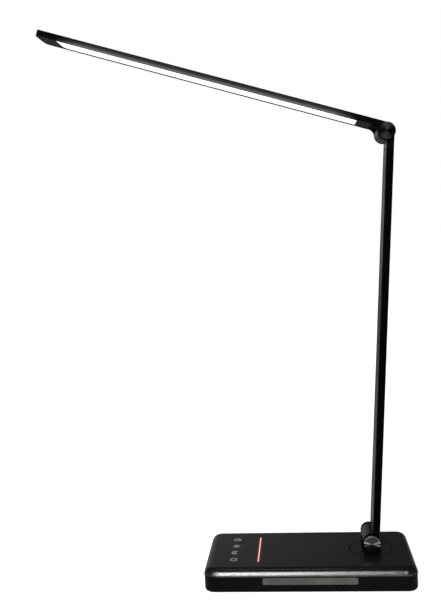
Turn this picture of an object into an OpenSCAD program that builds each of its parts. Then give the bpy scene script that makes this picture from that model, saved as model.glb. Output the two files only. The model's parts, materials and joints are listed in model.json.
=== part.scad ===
// Folding desk lamp with a drawer in its base.
// A slab base carries a swivel disc. A yoke on the disc holds a flat arm, and the arm holds a flat
// head with a long diffuser. Both hinges are friction hinges: a knuckle turns between two ears.
// Millimetres, +Z up. The origin is the middle of the face that the base rests on.
// +X points to the swivel's end of the base, -Y to the drawer's side.

/* [Base] */
// Length of the base
base_len = 192; // [186:1:222]
// Depth of the base from front to back
base_wid = 98; // [95:1:118]
// Height of the base with its pad
base_h = 21.8; // [21.3:0.1:24.8]
// Height of the parting line between housing and cover
split_h = 14.8; // [14.6:0.1:15.4]
// Radius of the base's corners seen from above
base_corner = 10; // [9:1:16]
// Radius of the cover's rolled upper edge
edge_roll = 7; // [4:0.5:7]
// Wall thickness of the housing and the cover
wall = 2.2; // [1.8:0.1:2.4]
// Thickness of the anti-slip pad
pad_t = 1.2; // [0.9:0.1:1.4]

/* [Drawer] */
// Length of plain wall on each side of the drawer's front
drawer_side = 53.5; // [53:0.5:63]
// Height of the drawer's front
drawer_front_h = 6.1; // [5.8:0.1:6.3]
// Depth of the drawer from its front to its rear wall
drawer_depth = 63; // [56:1:66]
// How far the drawer pulls out
drawer_travel = 50; // [20:1:51]

/* [Controls] */
// Distance from the base's left end to the slider bar
slider_inset = 49.2; // [46:0.1:51]
// Length of the slider bar
slider_len = 60; // [30:1:66]
// Width of the slider bar
slider_w = 2; // [1.2:0.1:3]
// Distance from the base's left end to the touch symbols
touch_inset = 26.7; // [21:0.1:31]
// Distance between two touch symbols
touch_pitch = 16.6; // [10:0.1:18]

/* [Swivel] */
// Distance from the base's right end to the swivel axis
swivel_inset = 38; // [34:1:39]
// Radius of the opening around the swivel disc
swivel_r = 20; // [19.9:0.1:21]
// Thickness of the swivel disc
disc_t = 1.9; // [1.6:0.1:2.1]
// Turn to each side, in degrees
swivel_limit = 90; // [45:5:90]

/* [Hinges] */
// Height of the lower hinge axis above the base's top
pivot_rise = 11.25; // [11:0.25:14]
// Radius of the hinge barrels
barrel_r = 8; // [7.6:0.1:8.5]
// Radius of the hinge pins
pin_r = 2.5; // [2:0.1:2.6]
// Thickness of a hinge ear
ear_t = 3.3; // [3:0.1:3.6]
// Thickness of an end cap's visible disc
cap_t = 1.4; // [1:0.1:1.6]

/* [Arm] */
// Distance between the two hinge axes
arm_len = 375; // [300:5:420]
// Width of the arm
arm_w = 28; // [26:0.5:29]
// Thickness of the arm
arm_t = 6.8; // [6.4:0.1:7.2]
// Lean of the arm from upright, in degrees
arm_lean = 3.75; // [0:0.25:20]

/* [Head] */
// Distance from the upper hinge axis to the head's tip
head_reach = 330.5; // [260:0.5:380]
// Width of the head
head_w = 37.4; // [37:0.1:40]
// Thickness of the head
head_t = 5.7; // [5.5:0.1:6]
// Rise of the head from level, in degrees
head_rise = 18; // [0:0.5:60]
// Distance from the upper hinge axis to the start of the diffuser
window_start = 27.7; // [24:0.1:40]
// Plain length between the end of the diffuser and the head's tip
window_tip = 17.3; // [8:0.1:40]
// Number of light chips in the head
chip_count = 24; // [12:2:36]

/* [Hidden] */
$fn = 72;

// Clearances
seat = 0.05;          // between two pieces that are fixed to each other
slip = 0.1;           // side clearance of a piece that drops into a pocket
run = 0.05;           // radial clearance of a turning fit
play = 0.3;           // between two faces that pass each other
eps = 0.01;

// Base, heights
roll = min(edge_roll, base_h - split_h);
corner = max(base_corner, roll + 1);
overhang = 0.4;                          // cover past housing, all round
part_gap = 0.4;                          // shadow line between housing and cover
foot_rise = pad_t / 3;                   // the pad stands proud by this much
floor_z = pad_t + wall - 0.2;            // inner floor of the housing
rim_z = split_h - part_gap;              // top of the housing's outer wall
ceiling_z = base_h - wall;               // underside of the cover's top plate
house_len = base_len - 2 * overhang;
house_wid = base_wid - 2 * overhang;
foot_roll = 2.4;                         // housing's lower edge
lip_t = 1.1;
lip_h = 1.2;
lip_gap = 0.15;                          // lip to the cover's wall
lip_root = 1.1;                          // how far the lip reaches down inside the wall
pad_inset = 3.5;                         // pad's pocket to the housing's outline
front_y = -house_wid / 2;                // plane of the front wall
back_y = house_wid / 2;

// Drawer
drawer_w = base_len - 2 * drawer_side;
front_t = 2.2;
front_corner = 1.6;
front_z = 7.65;                          // lower edge of the drawer front
mouth_gap = 0.35;                        // gap round the drawer front
tray_w = drawer_w - 2;
tray_wall = 1.2;
tray_floor = 0.8;
tray_z = front_z + 0.25;                 // underside of the tray
tray_rim_z = front_z + drawer_front_h - 0.65;
tray_back_z = tray_rim_z + 0.7;          // the rear wall is taller and catches the stop rib
tray_front_y = front_y + front_t;
tray_back_y = front_y + drawer_depth;
stop_z = tray_rim_z + play;              // underside of the cover's stop rib
stop_t = 1.4;
stop_y = tray_back_y - tray_wall - drawer_travel - play - stop_t;
guide_x = tray_w / 2 + 0.35;             // inner face of a drawer guide
guide_t = 1.5;
ledge_w = 3.2;
ledge_z = tray_z - play;
peg_r = 1.2;
peg_inset = 12;
peg_x = drawer_w / 2 - peg_inset;
peg_z = tray_z + 2.4;
catch_h = 3;                             // height of the stops behind the tray
stop_inset = 6;                          // stop rib to the tray's sides

// Weight plate
plate_t = ledge_z - 0.2 - floor_z;
plate_edge = 6.5;                        // plate to housing outline
slot_in = guide_x - ledge_w - play;
slot_out = guide_x + guide_t + play;
block_x = slot_out + 2.3;
block_top = floor_z + plate_t + 2.4;
block_front = 10;                        // raised blocks to the base's front edge
block_back = 22;                         // and to its back edge
plate_corner = 6;

// Housing screws
screw_x = base_len / 2 - corner;
screw_y = base_wid / 2 - corner + 0.5;
post_r = 3.8;
post_top = 9.8;
screw_head_r = 2.6;
screw_head_h = 1.6;
screw_r = 1.2;
screw_slack = 0.3;                       // through-hole past the screw
driver_w = 0.6;
driver_half = 1.6;
driver_depth = 0.8;
screw_top = 16.8;

// Swivel
swivel_x = base_len / 2 - swivel_inset;
disc_gap = 0.35;
disc_r = swivel_r - disc_gap;
disc_z = base_h - disc_t;                // underside of the disc
seat_z = disc_z - play;                  // floor of the disc's seat
seat_wall = 2.4;
seat_bottom = split_h + 0.2;
spindle_r = 7;
spindle_neck_r = 5.4;
wire_bore_r = 3;
bush_r = 8.2;
bush_flange_r = 10.5;
bush_flange_t = 0.8;
washer_r = 10;
washer_t = 0.7;
washer_top = seat_bottom - seat - bush_flange_t - play;
nut_t = 2.3;
nut_r = 11;
spindle_bottom = washer_top - washer_t - nut_t - 0.5;
lug_r = 1.2;
lug_orbit = 13;
lug_drop = 1;
groove_half = swivel_limit + asin(lug_r / lug_orbit) + 1.5;
edge_break = 0.3;                        // chamfer of the disc's edge and of its opening

// Hinges
pivot_z = base_h + pivot_rise;
knuckle_len = arm_w;
ear_in = knuckle_len / 2 + play;         // inner face of an ear, from the middle plane
ear_out = ear_in + ear_t;
cap_out = ear_out + seat + cap_t;        // outer face of an end cap
cap_r = barrel_r - 0.3;
cap_boss_r = 5;
cap_boss_t = 1;
cap_bevel = 0.35;
cap_dome = 1.2;                          // rise of the cap's shallow cone
pin_half = ear_out - cap_boss_t - 2 * seat;
ear_w = 2 * barrel_r - 0.4;              // width of a yoke ear
saddle_t = 2.5;
washer_in_r = 5.2;
hinge_washer_t = 0.8;
rib_pitch = 2;
rib_cut = 0.5;
rib_depth = 0.25;
yoke_screw_r = 0.95;
yoke_screw_head_r = 1.8;
yoke_screw_head_h = 0.85;
yoke_screw_top = base_h + 5.5;

// Arm section, measured from the hinge axis: inner face to outer face
arm_out = barrel_r - 0.5;
arm_in = arm_out - arm_t;
arm_edge = 1.2;
neck_len = 15;                           // hinge axis to the end of the aluminium profile
channel_w = 18;
rebate_w = 20.2;
strip_t = 1.2;
web_t = 2;
tongue_len = 16;
tongue_w = channel_w - 2 * slip - 0.3;
tongue_in = arm_in + strip_t + 0.35;
tongue_out = arm_out - web_t - seat;
groove_w = 6;
groove_out = tongue_in + 2;
arm_screw_y = 6;
arm_screw_u = neck_len + 9;
arm_screw_r = 1;
arm_screw_head_r = 1.9;
arm_screw_head_h = 1;
blind_skin = 0.4;                        // metal left over a screw's tip
tip_gap = 0.1;                           // screw's tip to the end of its hole
wire_r = 0.75;
wire_x = tongue_in + 1;
wire_y = 1.2;
wire_end = 11;

// Head section, measured from the upper hinge axis: lower face to upper face
upper_x = swivel_x + arm_len * sin(arm_lean);
upper_z = pivot_z + arm_len * cos(arm_lean);
head_top = barrel_r - 0.4;
head_bottom = head_top - head_t;
skin_t = 1.2;
side_t = 1.2;
tip_corner = 6;
shell_edge = 0.9;
cavity_top = head_top - skin_t;
bezel_t = 1.15;
bezel_top = head_bottom + bezel_t;
bezel_half = head_w / 2 - side_t - slip;
window_half = bezel_half - 0.6;
window_end = head_reach - window_tip;
window_corner = 5.5;
bezel_end = head_reach - side_t - slip;
diffuser_t = 0.9;
diffuser_lap = 0.4;                      // diffuser's flange past the window
diffuser_z = bezel_top + seat;
guide_z = diffuser_z + diffuser_t + seat;
guide_plate_t = 1;
reflector_z = guide_z + guide_plate_t + seat;
reflector_t = 0.25;
guide_half = 15.4;
guide_inset = 1;                         // layers to the window's ends
board_in = guide_half + 1.1;
board_out = bezel_half;
board_h = cavity_top - 0.1 - guide_z;
board_near = 2;                          // strip board to the window's start
board_far = 4;                           // and to its end
led_size = [3, 0.8, 1];
fillet_r = 7;                            // hollow between an ear and the head's underside
fillet_z = head_bottom - fillet_r;
fillet_x = sqrt(pow(barrel_r + fillet_r, 2) - pow(fillet_z, 2));
head_tongue_w = 30;
head_tongue_len = 10;
head_tongue_bottom = bezel_top + 0.25;
head_tongue_top = cavity_top - seat;
head_screw_y = 9;
head_screw_x = neck_len + 5;

// ---------- shared shapes ----------

// Rectangle with round corners, centred
module round_rect(l, w, r) {
    square([l - 2 * r, w], center = true);
    square([l, w - 2 * r], center = true);
    for (sx = [-1, 1], sy = [-1, 1]) {
        translate([sx * (l / 2 - r), sy * (w / 2 - r)]) circle(r = r);
    }
}

module round_slab(l, w, r, z0, z1) {
    translate([0, 0, z0]) linear_extrude(z1 - z0) round_rect(l, w, r);
}

// Half section of a slab with a rolled upper edge, from the corner's centre line outwards
module roll_section(reach, h, bend) {
    intersection() {
        square([reach, h]);
        union() {
            square([reach - bend, h]);
            if (h > bend) square([reach, h - bend]);
            translate([reach - bend, h - bend]) circle(r = bend);
        }
    }
}

module roll_bar(l, reach, h, bend) {
    translate([-l / 2, 0, 0]) rotate([90, 0, 90]) linear_extrude(l) roll_section(reach, h, bend);
}

// Slab with round corners and a rolled upper edge, standing on z = 0
module rolled_slab(l, w, h, r, bend) {
    flat_x = l / 2 - r;
    flat_y = w / 2 - r;
    translate([-flat_x, -flat_y, 0]) cube([2 * flat_x, 2 * flat_y, h]);
    for (q = [0:3]) {
        sx = (q == 0 || q == 3) ? 1 : -1;
        sy = q < 2 ? 1 : -1;
        translate([sx * flat_x, sy * flat_y, 0]) rotate([0, 0, 90 * q])
            rotate_extrude(angle = 90) roll_section(r, h, bend);
    }
    for (side = [0, 180]) {
        rotate([0, 0, side]) translate([0, flat_y, 0]) roll_bar(2 * flat_x, r, h, bend);
        rotate([0, 0, side - 90]) translate([0, flat_x, 0]) roll_bar(2 * flat_y, r, h, bend);
    }
}

module box(x0, x1, y0, y1, z0, z1) {
    translate([x0, y0, z0]) cube([x1 - x0, y1 - y0, z1 - z0]);
}

module post(x, y, r, z0, z1) {
    translate([x, y, z0]) cylinder(r = r, h = z1 - z0);
}

module ring(r_out, r_in, z0, z1) {
    translate([0, 0, z0]) difference() {
        cylinder(r = r_out, h = z1 - z0);
        translate([0, 0, -1]) cylinder(r = r_in, h = z1 - z0 + 2);
    }
}

// Round bar along Y
module y_bar(r, y0, y1) {
    translate([0, y1, 0]) rotate([90, 0, 0]) cylinder(r = r, h = y1 - y0);
}

module at_swivel() {
    translate([swivel_x, 0, 0]) children();
}

// Arm frame: origin on the lower hinge axis, +Z along the arm, +X to its outer face
module at_arm() {
    translate([swivel_x, 0, pivot_z]) rotate([0, arm_lean, 0]) children();
}

// Head frame: origin on the upper hinge axis, -X along the head, +Z to its upper face
module at_head() {
    translate([upper_x, 0, upper_z]) rotate([0, head_rise, 0]) children();
}

module at_corner_screws() {
    for (sx = [-1, 1], sy = [-1, 1]) {
        translate([sx * screw_x, sy * screw_y, 0]) children();
    }
}

// ---------- base ----------

touch_x = -base_len / 2 + touch_inset;
slider_x = -base_len / 2 + slider_inset;
board_t = 1.2;
touch_board_top = ceiling_z - 3.3;
touch_board_half = screw_y - post_r - play;
touch_board_x0 = touch_x - 9.7;
touch_board_x1 = slider_x + 2.6;
stake_r = 1;
stake_post_r = 2;
stake_inset = 3;
stake_x0 = touch_board_x0 + stake_inset;
stake_x1 = slider_x - 8;
stake_y = touch_board_half - stake_inset;

spring_r = 3.2;
spring_wire = 0.8;
flange = 0.8;                            // slider bar's flange under the cover
flange_t = 0.95;
slider_foot = 1.1;                       // slider bar to the touch board
slider_chip_count = 6;
slider_chip = [1.6, 3, 0.8];

module touch_stakes(r, z0, z1) {
    for (x = [stake_x0, stake_x1], s = [-1, 1]) post(x, s * stake_y, r, z0, z1);
}

rib_t = 1.4;
rib_z = rim_z + lip_h + 0.4;             // underside of the cover's ribs
rib_y = 16;
rib_x0 = touch_board_x1 + 4;

// Stiffening ribs under the cover: three from the swivel's seat to the walls, two along the base
module cover_ribs() {
    at_swivel() {
        swivel_rib(0, swivel_inset - wall);
        for (turn = [-90, 90]) swivel_rib(turn, base_wid / 2 - wall);
    }
    for (s = [-1, 1])
        box(rib_x0, swivel_x - sqrt(pow(swivel_r + seat_wall / 2, 2) - pow(rib_y, 2)),
            s * rib_y - rib_t / 2, s * rib_y + rib_t / 2, rib_z, ceiling_z + eps);
}

module swivel_rib(turn, reach) {
    rotate([0, 0, turn]) box(swivel_r + seat_wall / 2, reach, -rib_t / 2, rib_t / 2, rib_z, ceiling_z + eps);
}

module base_top_cover() {
    color([0.16, 0.16, 0.15]) difference() {
        union() {
            difference() {
                translate([0, 0, split_h])
                    rolled_slab(base_len, base_wid, base_h - split_h, corner, roll);
                translate([0, 0, split_h - 1])
                    rolled_slab(base_len - 2 * wall, base_wid - 2 * wall, ceiling_z - split_h + 1,
                        corner - wall, max(roll - wall, 0.5));
            }
            at_swivel() post(0, 0, swivel_r + seat_wall, seat_bottom, ceiling_z + eps);
            at_corner_screws() post(0, 0, post_r, post_top + seat, ceiling_z + eps);
            box(-tray_w / 2 + stop_inset, tray_w / 2 - stop_inset, stop_y, stop_y + stop_t,
                stop_z, ceiling_z + eps);
            touch_stakes(stake_post_r, touch_board_top + seat, ceiling_z + eps);
            touch_stakes(stake_r, touch_board_top - board_t - 0.4, ceiling_z);
            cover_ribs();
        }
        at_swivel() {
            post(0, 0, swivel_r, seat_z, base_h + 1);
            translate([0, 0, base_h - edge_break])
                cylinder(r1 = swivel_r, r2 = swivel_r + edge_break + 1, h = edge_break + 1);
            post(0, 0, bush_r + seat, seat_bottom - 1, base_h);
            translate([0, 0, disc_z - lug_drop - play]) rotate([0, 0, -groove_half])
                rotate_extrude(angle = 2 * groove_half)
                    translate([lug_orbit - lug_r - play, 0])
                        square([2 * (lug_r + play), lug_drop + play + 1]);
        }
        at_corner_screws() post(0, 0, screw_r + seat, post_top - 1, screw_top + 0.5);
        translate([slider_x, 0, ceiling_z - 1]) linear_extrude(wall + 2)
            round_rect(slider_w + 2 * slip, slider_len + 2 * slip, slider_w / 2);
    }
}

// Slab inside the cover's outline
module lip_slab(inset, z0, z1) {
    round_slab(base_len - 2 * inset, base_wid - 2 * inset, corner - inset, z0, z1);
}

module base_lower_housing() {
    color([0.08, 0.08, 0.07]) difference() {
        union() {
            difference() {
                translate([0, 0, rim_z]) mirror([0, 0, 1])
                    rolled_slab(house_len, house_wid, rim_z - foot_rise, corner - overhang, foot_roll);
                round_slab(house_len - 2 * wall, house_wid - 2 * wall, corner - overhang - wall,
                    floor_z, rim_z + 1);
            }
            difference() {
                lip_slab(wall + lip_gap, rim_z - lip_root, rim_z + lip_h);
                lip_slab(wall + lip_gap + lip_t, rim_z - lip_root - 1, rim_z + lip_h + 1);
            }
            at_corner_screws() post(0, 0, post_r, floor_z - eps, post_top);
            for (side = [0, 1]) mirror([side, 0, 0]) drawer_guide();
        }
        pad_slab(pad_inset, -1, pad_t);
        at_corner_screws() {
            post(0, 0, screw_r + screw_slack, -1, post_top + 1);
            post(0, 0, screw_head_r + 2 * slip, -1, pad_t + screw_head_h + seat);
        }
        drawer_mouth();
        translate([inlet_x, 0, inlet_z]) y_bar(inlet_nose_r + slip, back_y - 2 * wall, back_y + 1);
    }
}

// Opening in the front wall, from the drawer front's lower edge up to the rim
module drawer_mouth() {
    half = drawer_w / 2 + mouth_gap;
    low = front_z - mouth_gap;
    depth = wall + lip_t + 1;
    translate([0, front_y + depth, 0]) rotate([90, 0, 0]) linear_extrude(depth + 2) union() {
        translate([-half, low + front_corner]) square([2 * half, rim_z + lip_h + 1 - low - front_corner]);
        translate([-half + front_corner, low]) square([2 * (half - front_corner), front_corner + eps]);
        for (s = [-1, 1]) {
            translate([s * (half - front_corner), low + front_corner]) circle(r = front_corner);
        }
    }
}

// Right-hand guide: a wall beside the tray, a ledge under it and a stop behind it
module drawer_guide() {
    y0 = front_y + wall - eps;
    y1 = tray_back_y + play + guide_t;
    box(guide_x, guide_x + guide_t, y0, y1, floor_z - eps, tray_rim_z);
    box(guide_x - ledge_w, guide_x + eps, y0, y1, floor_z - eps, ledge_z);
    box(guide_x - ledge_w, guide_x + eps, tray_back_y + play, y1, ledge_z - eps, tray_z + catch_h);
}

module weight_plate() {
    top = floor_z + seat + plate_t;
    color([0.35, 0.35, 0.36]) difference() {
        union() {
            round_slab(house_len - 2 * plate_edge, house_wid - 2 * plate_edge, plate_corner,
                floor_z + seat, top);
            for (side = [0, 1]) mirror([side, 0, 0])
                box(block_x, screw_x - post_r - 1, -base_wid / 2 + block_front, base_wid / 2 - block_back,
                    top - eps, block_top);
        }
        at_corner_screws() post(0, 0, post_r + 0.4, floor_z - 1, block_top + 1);
        for (side = [0, 1]) mirror([side, 0, 0])
            box(slot_in, slot_out, -base_wid, tray_back_y + guide_t + 3 * play, floor_z - 1, block_top + 1);
    }
}

// Slab inside the housing's outline
module pad_slab(inset, z0, z1) {
    round_slab(house_len - 2 * inset, house_wid - 2 * inset, corner - inset, z0, z1);
}

module base_pad() {
    color([0.05, 0.05, 0.05])
        pad_slab(pad_inset + slip, 0, pad_t - seat);
}

module housing_screws() {
    color([0.6, 0.6, 0.62]) at_corner_screws() difference() {
        union() {
            post(0, 0, screw_head_r, pad_t + seat, pad_t + screw_head_h);
            post(0, 0, screw_r, pad_t + screw_head_h - eps, screw_top);
        }
        for (turn = [0, 90]) rotate([0, 0, turn])
            box(-driver_half, driver_half, -driver_w / 2, driver_w / 2, 0, pad_t + driver_depth);
    }
}

module touch_board() {
    color([0.1, 0.3, 0.15]) difference() {
        box(touch_board_x0, touch_board_x1, -touch_board_half, touch_board_half,
            touch_board_top - board_t, touch_board_top);
        touch_stakes(stake_r + slip, 0, base_h);
    }
}

// Coil springs that press against the cover, as sleeves
module touch_springs() {
    color([0.7, 0.55, 0.3]) for (i = [0:3]) translate([touch_x, (i - 1.5) * touch_pitch, 0])
        ring(spring_r, spring_r - spring_wire, touch_board_top + seat, ceiling_z - seat);
}

module slider_light_guide() {
    color([0.95, 0.75, 0.75]) translate([slider_x, 0, 0]) {
        round_slab(slider_w, slider_len, slider_w / 2 - eps, touch_board_top + slider_foot, base_h);
        round_slab(slider_w + 2 * flange, slider_len + 2 * flange, flange,
            ceiling_z - seat - flange_t, ceiling_z - seat);
    }
}

module slider_chips() {
    n = slider_chip_count;
    color([0.95, 0.95, 0.8]) for (i = [0:n - 1])
        translate([slider_x - slider_chip[0] / 2, (i - (n - 1) / 2) * slider_len / n - slider_chip[1] / 2,
            touch_board_top + seat]) cube(slider_chip);
}

inlet_inset = 35;
inlet_x = -base_len / 2 + inlet_inset;
inlet_z = 10.4;
inlet_nose_r = 2.6;
inlet_bore_r = 1.8;
inlet_half_w = 4;
inlet_half_h = 2.6;
inlet_depth = 11;
inlet_reach = 8;                         // depth of the socket
inlet_pin_r = 0.65;
inlet_sink = 0.2;                        // inlet's face behind the wall's
inlet_pin_sink = 1.5;                    // its pin's end behind the wall's face

module dc_inlet() {
    color([0.12, 0.12, 0.12]) translate([inlet_x, 0, inlet_z]) difference() {
        union() {
            box(-inlet_half_w, inlet_half_w, back_y - wall - inlet_depth, back_y - wall - seat,
                -inlet_half_h, inlet_half_h);
            y_bar(inlet_nose_r, back_y - wall - 1, back_y - inlet_sink);
        }
        difference() {
            y_bar(inlet_bore_r, back_y - wall - inlet_reach, back_y + 1);
            y_bar(inlet_pin_r, back_y - wall - inlet_reach - 1, back_y - inlet_pin_sink);
        }
    }
}

control_z = block_top + 0.1;
control_x0 = -screw_x + post_r + 1.5;
control_x1 = -slot_out - 4;
control_front = 12;                      // board to the base's front edge
control_back = 24;                       // and to its back edge
chip_inset = 3;
chip_a = [6, 8, 1.6];
chip_b = [5, 5, 1.2];
chip_c = [7, 10, 1.5];

module control_board() {
    board_top = control_z + board_t;
    y0 = -base_wid / 2 + control_front;
    y1 = base_wid / 2 - control_back;
    color([0.1, 0.3, 0.15]) union() {
        box(control_x0, control_x1, y0, y1, control_z, board_top);
        translate([control_x0 + chip_inset, y0 + 4 * chip_inset, board_top - eps]) cube(chip_a);
        translate([control_x0 + chip_inset, y1 - 5 * chip_inset, board_top - eps]) cube(chip_b);
        translate([control_x1 - chip_inset - chip_c[0], (y0 + y1) / 2, board_top - eps]) cube(chip_c);
    }
}

module spindle_bush() {
    color([0.85, 0.85, 0.8]) at_swivel() difference() {
        union() {
            post(0, 0, bush_r, seat_bottom - seat - eps, seat_z - 0.1);
            post(0, 0, bush_flange_r, seat_bottom - seat - bush_flange_t, seat_bottom - seat);
        }
        post(0, 0, spindle_r + run, 0, base_h);
    }
}

// ---------- drawer ----------

module drawer_tray() {
    half = tray_w / 2;
    color([0.1, 0.1, 0.1]) difference() {
        union() {
            box(-half, half, tray_front_y + seat, tray_back_y, tray_z, tray_rim_z);
            box(-half, half, tray_back_y - tray_wall, tray_back_y, tray_z, tray_back_z);
        }
        box(-half + tray_wall, half - tray_wall, tray_front_y + tray_wall, tray_back_y - tray_wall,
            tray_z + tray_floor, tray_back_z + 1);
        for (s = [-1, 1]) translate([s * peg_x, 0, peg_z])
            y_bar(peg_r + seat, tray_front_y - 1, tray_front_y + tray_wall + 1);
    }
}

module drawer_front() {
    h = drawer_front_h;
    color([0.35, 0.35, 0.33]) union() {
        translate([0, front_y + front_t, front_z + h / 2]) rotate([90, 0, 0])
            linear_extrude(front_t) round_rect(drawer_w, h, front_corner);
        for (s = [-1, 1]) translate([s * peg_x, 0, peg_z])
            y_bar(peg_r, tray_front_y - eps, tray_front_y + tray_wall);
    }
}

// ---------- swivel ----------

module yoke_screw_places() {
    for (s = [-1, 1]) translate([0, s * (ear_in + ear_out) / 2, 0]) children();
}

module swivel_disc() {
    color([0.14, 0.14, 0.13]) at_swivel() difference() {
        union() {
            post(0, 0, disc_r, disc_z, base_h - edge_break);
            translate([0, 0, base_h - edge_break])
                cylinder(r1 = disc_r, r2 = disc_r - edge_break, h = edge_break);
            post(lug_orbit, 0, lug_r, disc_z - lug_drop, disc_z + eps);
        }
        post(0, 0, spindle_neck_r + seat, 0, base_h + 1);
        yoke_screw_places() {
            post(0, 0, yoke_screw_r + seat, 0, base_h + 1);
            post(0, 0, yoke_screw_head_r + slip, 0, disc_z + yoke_screw_head_h + seat);
        }
    }
}

module swivel_spindle() {
    color([0.65, 0.65, 0.67]) at_swivel() difference() {
        union() {
            post(0, 0, spindle_r, spindle_bottom, disc_z - seat);
            post(0, 0, spindle_neck_r, disc_z - 1, base_h);
        }
        post(0, 0, wire_bore_r, 0, base_h + 1);
    }
}

module spindle_washer() {
    color([0.7, 0.7, 0.72]) at_swivel()
        ring(washer_r, spindle_r + seat, washer_top - washer_t, washer_top);
}

module spindle_nut() {
    top = washer_top - washer_t - seat;
    color([0.6, 0.6, 0.62]) at_swivel() difference() {
        translate([0, 0, top - nut_t]) cylinder(r = nut_r, h = nut_t, $fn = 6);
        post(0, 0, spindle_r + seat, 0, base_h);
    }
}

module hinge_yoke() {
    half = ear_w / 2;
    low = base_h + seat;
    color([0.1, 0.1, 0.1]) at_swivel() difference() {
        union() {
            box(-half, half, -ear_in - 1, ear_in + 1, low, low + saddle_t);
            for (s = [-1, 1]) {
                box(-half, half, s > 0 ? ear_in : -ear_out, s > 0 ? ear_out : -ear_in, low, pivot_z);
                translate([0, 0, pivot_z]) y_bar(half, s > 0 ? ear_in : -ear_out, s > 0 ? ear_out : -ear_in);
            }
        }
        post(0, 0, wire_bore_r, 0, pivot_z);
        translate([0, 0, pivot_z]) ear_bores();
        yoke_screw_places() post(0, 0, yoke_screw_r + seat, 0, yoke_screw_top + 0.3);
    }
}

// Pin bore through both ears and the shallow seats of the end caps
module ear_bores() {
    y_bar(pin_r + seat / 2, -ear_out - 1, ear_out + 1);
    y_bar(cap_boss_r + slip, ear_out - cap_boss_t - seat, ear_out + 1);
    y_bar(cap_boss_r + slip, -ear_out - 1, -ear_out + cap_boss_t + seat);
}

module yoke_screws() {
    color([0.6, 0.6, 0.62]) at_swivel() yoke_screw_places() {
        post(0, 0, yoke_screw_head_r, disc_z, disc_z + yoke_screw_head_h);
        post(0, 0, yoke_screw_r, disc_z + yoke_screw_head_h - seat, yoke_screw_top);
    }
}

// ---------- hinge pieces, about an axis along Y through the origin ----------

module hinge_pin() {
    color([0.7, 0.7, 0.72]) y_bar(pin_r, -pin_half, pin_half);
}

// End cap on the far side: a turned disc with a bevelled edge, a shallow cone on its face and a boss
// that seats in the ear
module end_cap() {
    face = ear_out + seat;
    color([0.5, 0.5, 0.5]) rotate([-90, 0, 0]) rotate_extrude() polygon([
        [0, face - cap_boss_t], [cap_boss_r, face - cap_boss_t], [cap_boss_r, face], [cap_r, face],
        [cap_r, cap_out - cap_bevel], [cap_r - cap_bevel, cap_out], [0, cap_out + cap_dome]
    ]);
}

module hinge_washers() {
    color([0.75, 0.72, 0.6]) for (side = [0, 1]) mirror([0, side, 0]) translate([0, knuckle_len / 2, 0])
        rotate([90, 0, 0]) ring(washer_in_r - slip, pin_r + run, 0, hinge_washer_t - seat);
}

// Knuckle with its neck and tongue, neck pointing to +Z. The barrel is turned with fine rings.
module knuckle() {
    half = knuckle_len / 2;
    rings = floor((knuckle_len - 2) / rib_pitch);
    difference() {
        union() {
            difference() {
                y_bar(barrel_r, -half, half);
                for (i = [0:rings]) translate([0, (i - rings / 2) * rib_pitch, 0]) rotate([90, 0, 0])
                    ring(barrel_r + 1, barrel_r - rib_depth, -rib_cut / 2, rib_cut / 2);
            }
            translate([arm_in + arm_t / 2, 0, 0]) linear_extrude(neck_len - seat)
                round_rect(arm_t, arm_w, arm_edge);
            box(tongue_in, tongue_out, -tongue_w / 2, tongue_w / 2, neck_len - 1, neck_len + tongue_len);
        }
        y_bar(pin_r + run, -half - 1, half + 1);
        for (side = [0, 1]) mirror([0, side, 0])
            y_bar(washer_in_r, half - hinge_washer_t, half + 1);
        wire_groove(tongue_in - 1, wire_end - 0.5, neck_len + tongue_len + 1);
        wire_groove(arm_in - 1, neck_len - 2.5, neck_len + 1);
        for (s = [-1, 1]) translate([0, s * arm_screw_y, arm_screw_u]) rotate([0, 90, 0]) {
            cylinder(r = arm_screw_r + seat, h = barrel_r + 2);
            cylinder(r = arm_screw_head_r + slip, h = tongue_in + arm_screw_head_h);
        }
    }
}

module wire_groove(from, z0, z1) {
    box(from, groove_out, -groove_w / 2, groove_w / 2, z0, z1);
}

module arm_screw_pair() {
    for (s = [-1, 1]) translate([tongue_in, s * arm_screw_y, arm_screw_u]) rotate([0, 90, 0]) {
        cylinder(r = arm_screw_head_r, h = arm_screw_head_h);
        cylinder(r = arm_screw_r, h = arm_out - blind_skin - tip_gap - tongue_in);
    }
}

// Upper end of the arm: the same pieces, turned end for end
module at_arm_top() {
    translate([0, 0, arm_len]) mirror([0, 0, 1]) children();
}

// ---------- arm ----------

module arm_lower_knuckle() {
    color([0.12, 0.12, 0.12]) at_arm() knuckle();
}

module arm_upper_knuckle() {
    color([0.12, 0.12, 0.12]) at_arm() at_arm_top() knuckle();
}

module arm_profile() {
    color([0.06, 0.06, 0.06]) at_arm() difference() {
        translate([0, 0, neck_len]) linear_extrude(arm_len - 2 * neck_len) difference() {
            translate([arm_in + arm_t / 2, 0]) round_rect(arm_t, arm_w, arm_edge);
            translate([arm_in - 1, -channel_w / 2]) square([arm_t - web_t + 1, channel_w]);
            translate([arm_in - 1, -rebate_w / 2]) square([strip_t + 1 + seat, rebate_w]);
        }
        for (end = [0, 1], s = [-1, 1])
            translate([arm_out - web_t - 1, s * arm_screw_y, end > 0 ? arm_len - arm_screw_u : arm_screw_u])
                rotate([0, 90, 0]) cylinder(r = arm_screw_r + seat, h = web_t + 1 - blind_skin);
    }
}

module arm_wire_cover() {
    color([0.3, 0.3, 0.3]) at_arm()
        box(arm_in + slip, arm_in + strip_t, -rebate_w / 2 + slip, rebate_w / 2 - slip,
            neck_len + slip, arm_len - neck_len - slip);
}

module arm_wires() {
    color([0.7, 0.1, 0.1]) at_arm() for (s = [-1, 1])
        translate([wire_x, s * wire_y, wire_end]) cylinder(r = wire_r, h = arm_len - 2 * wire_end);
}

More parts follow.
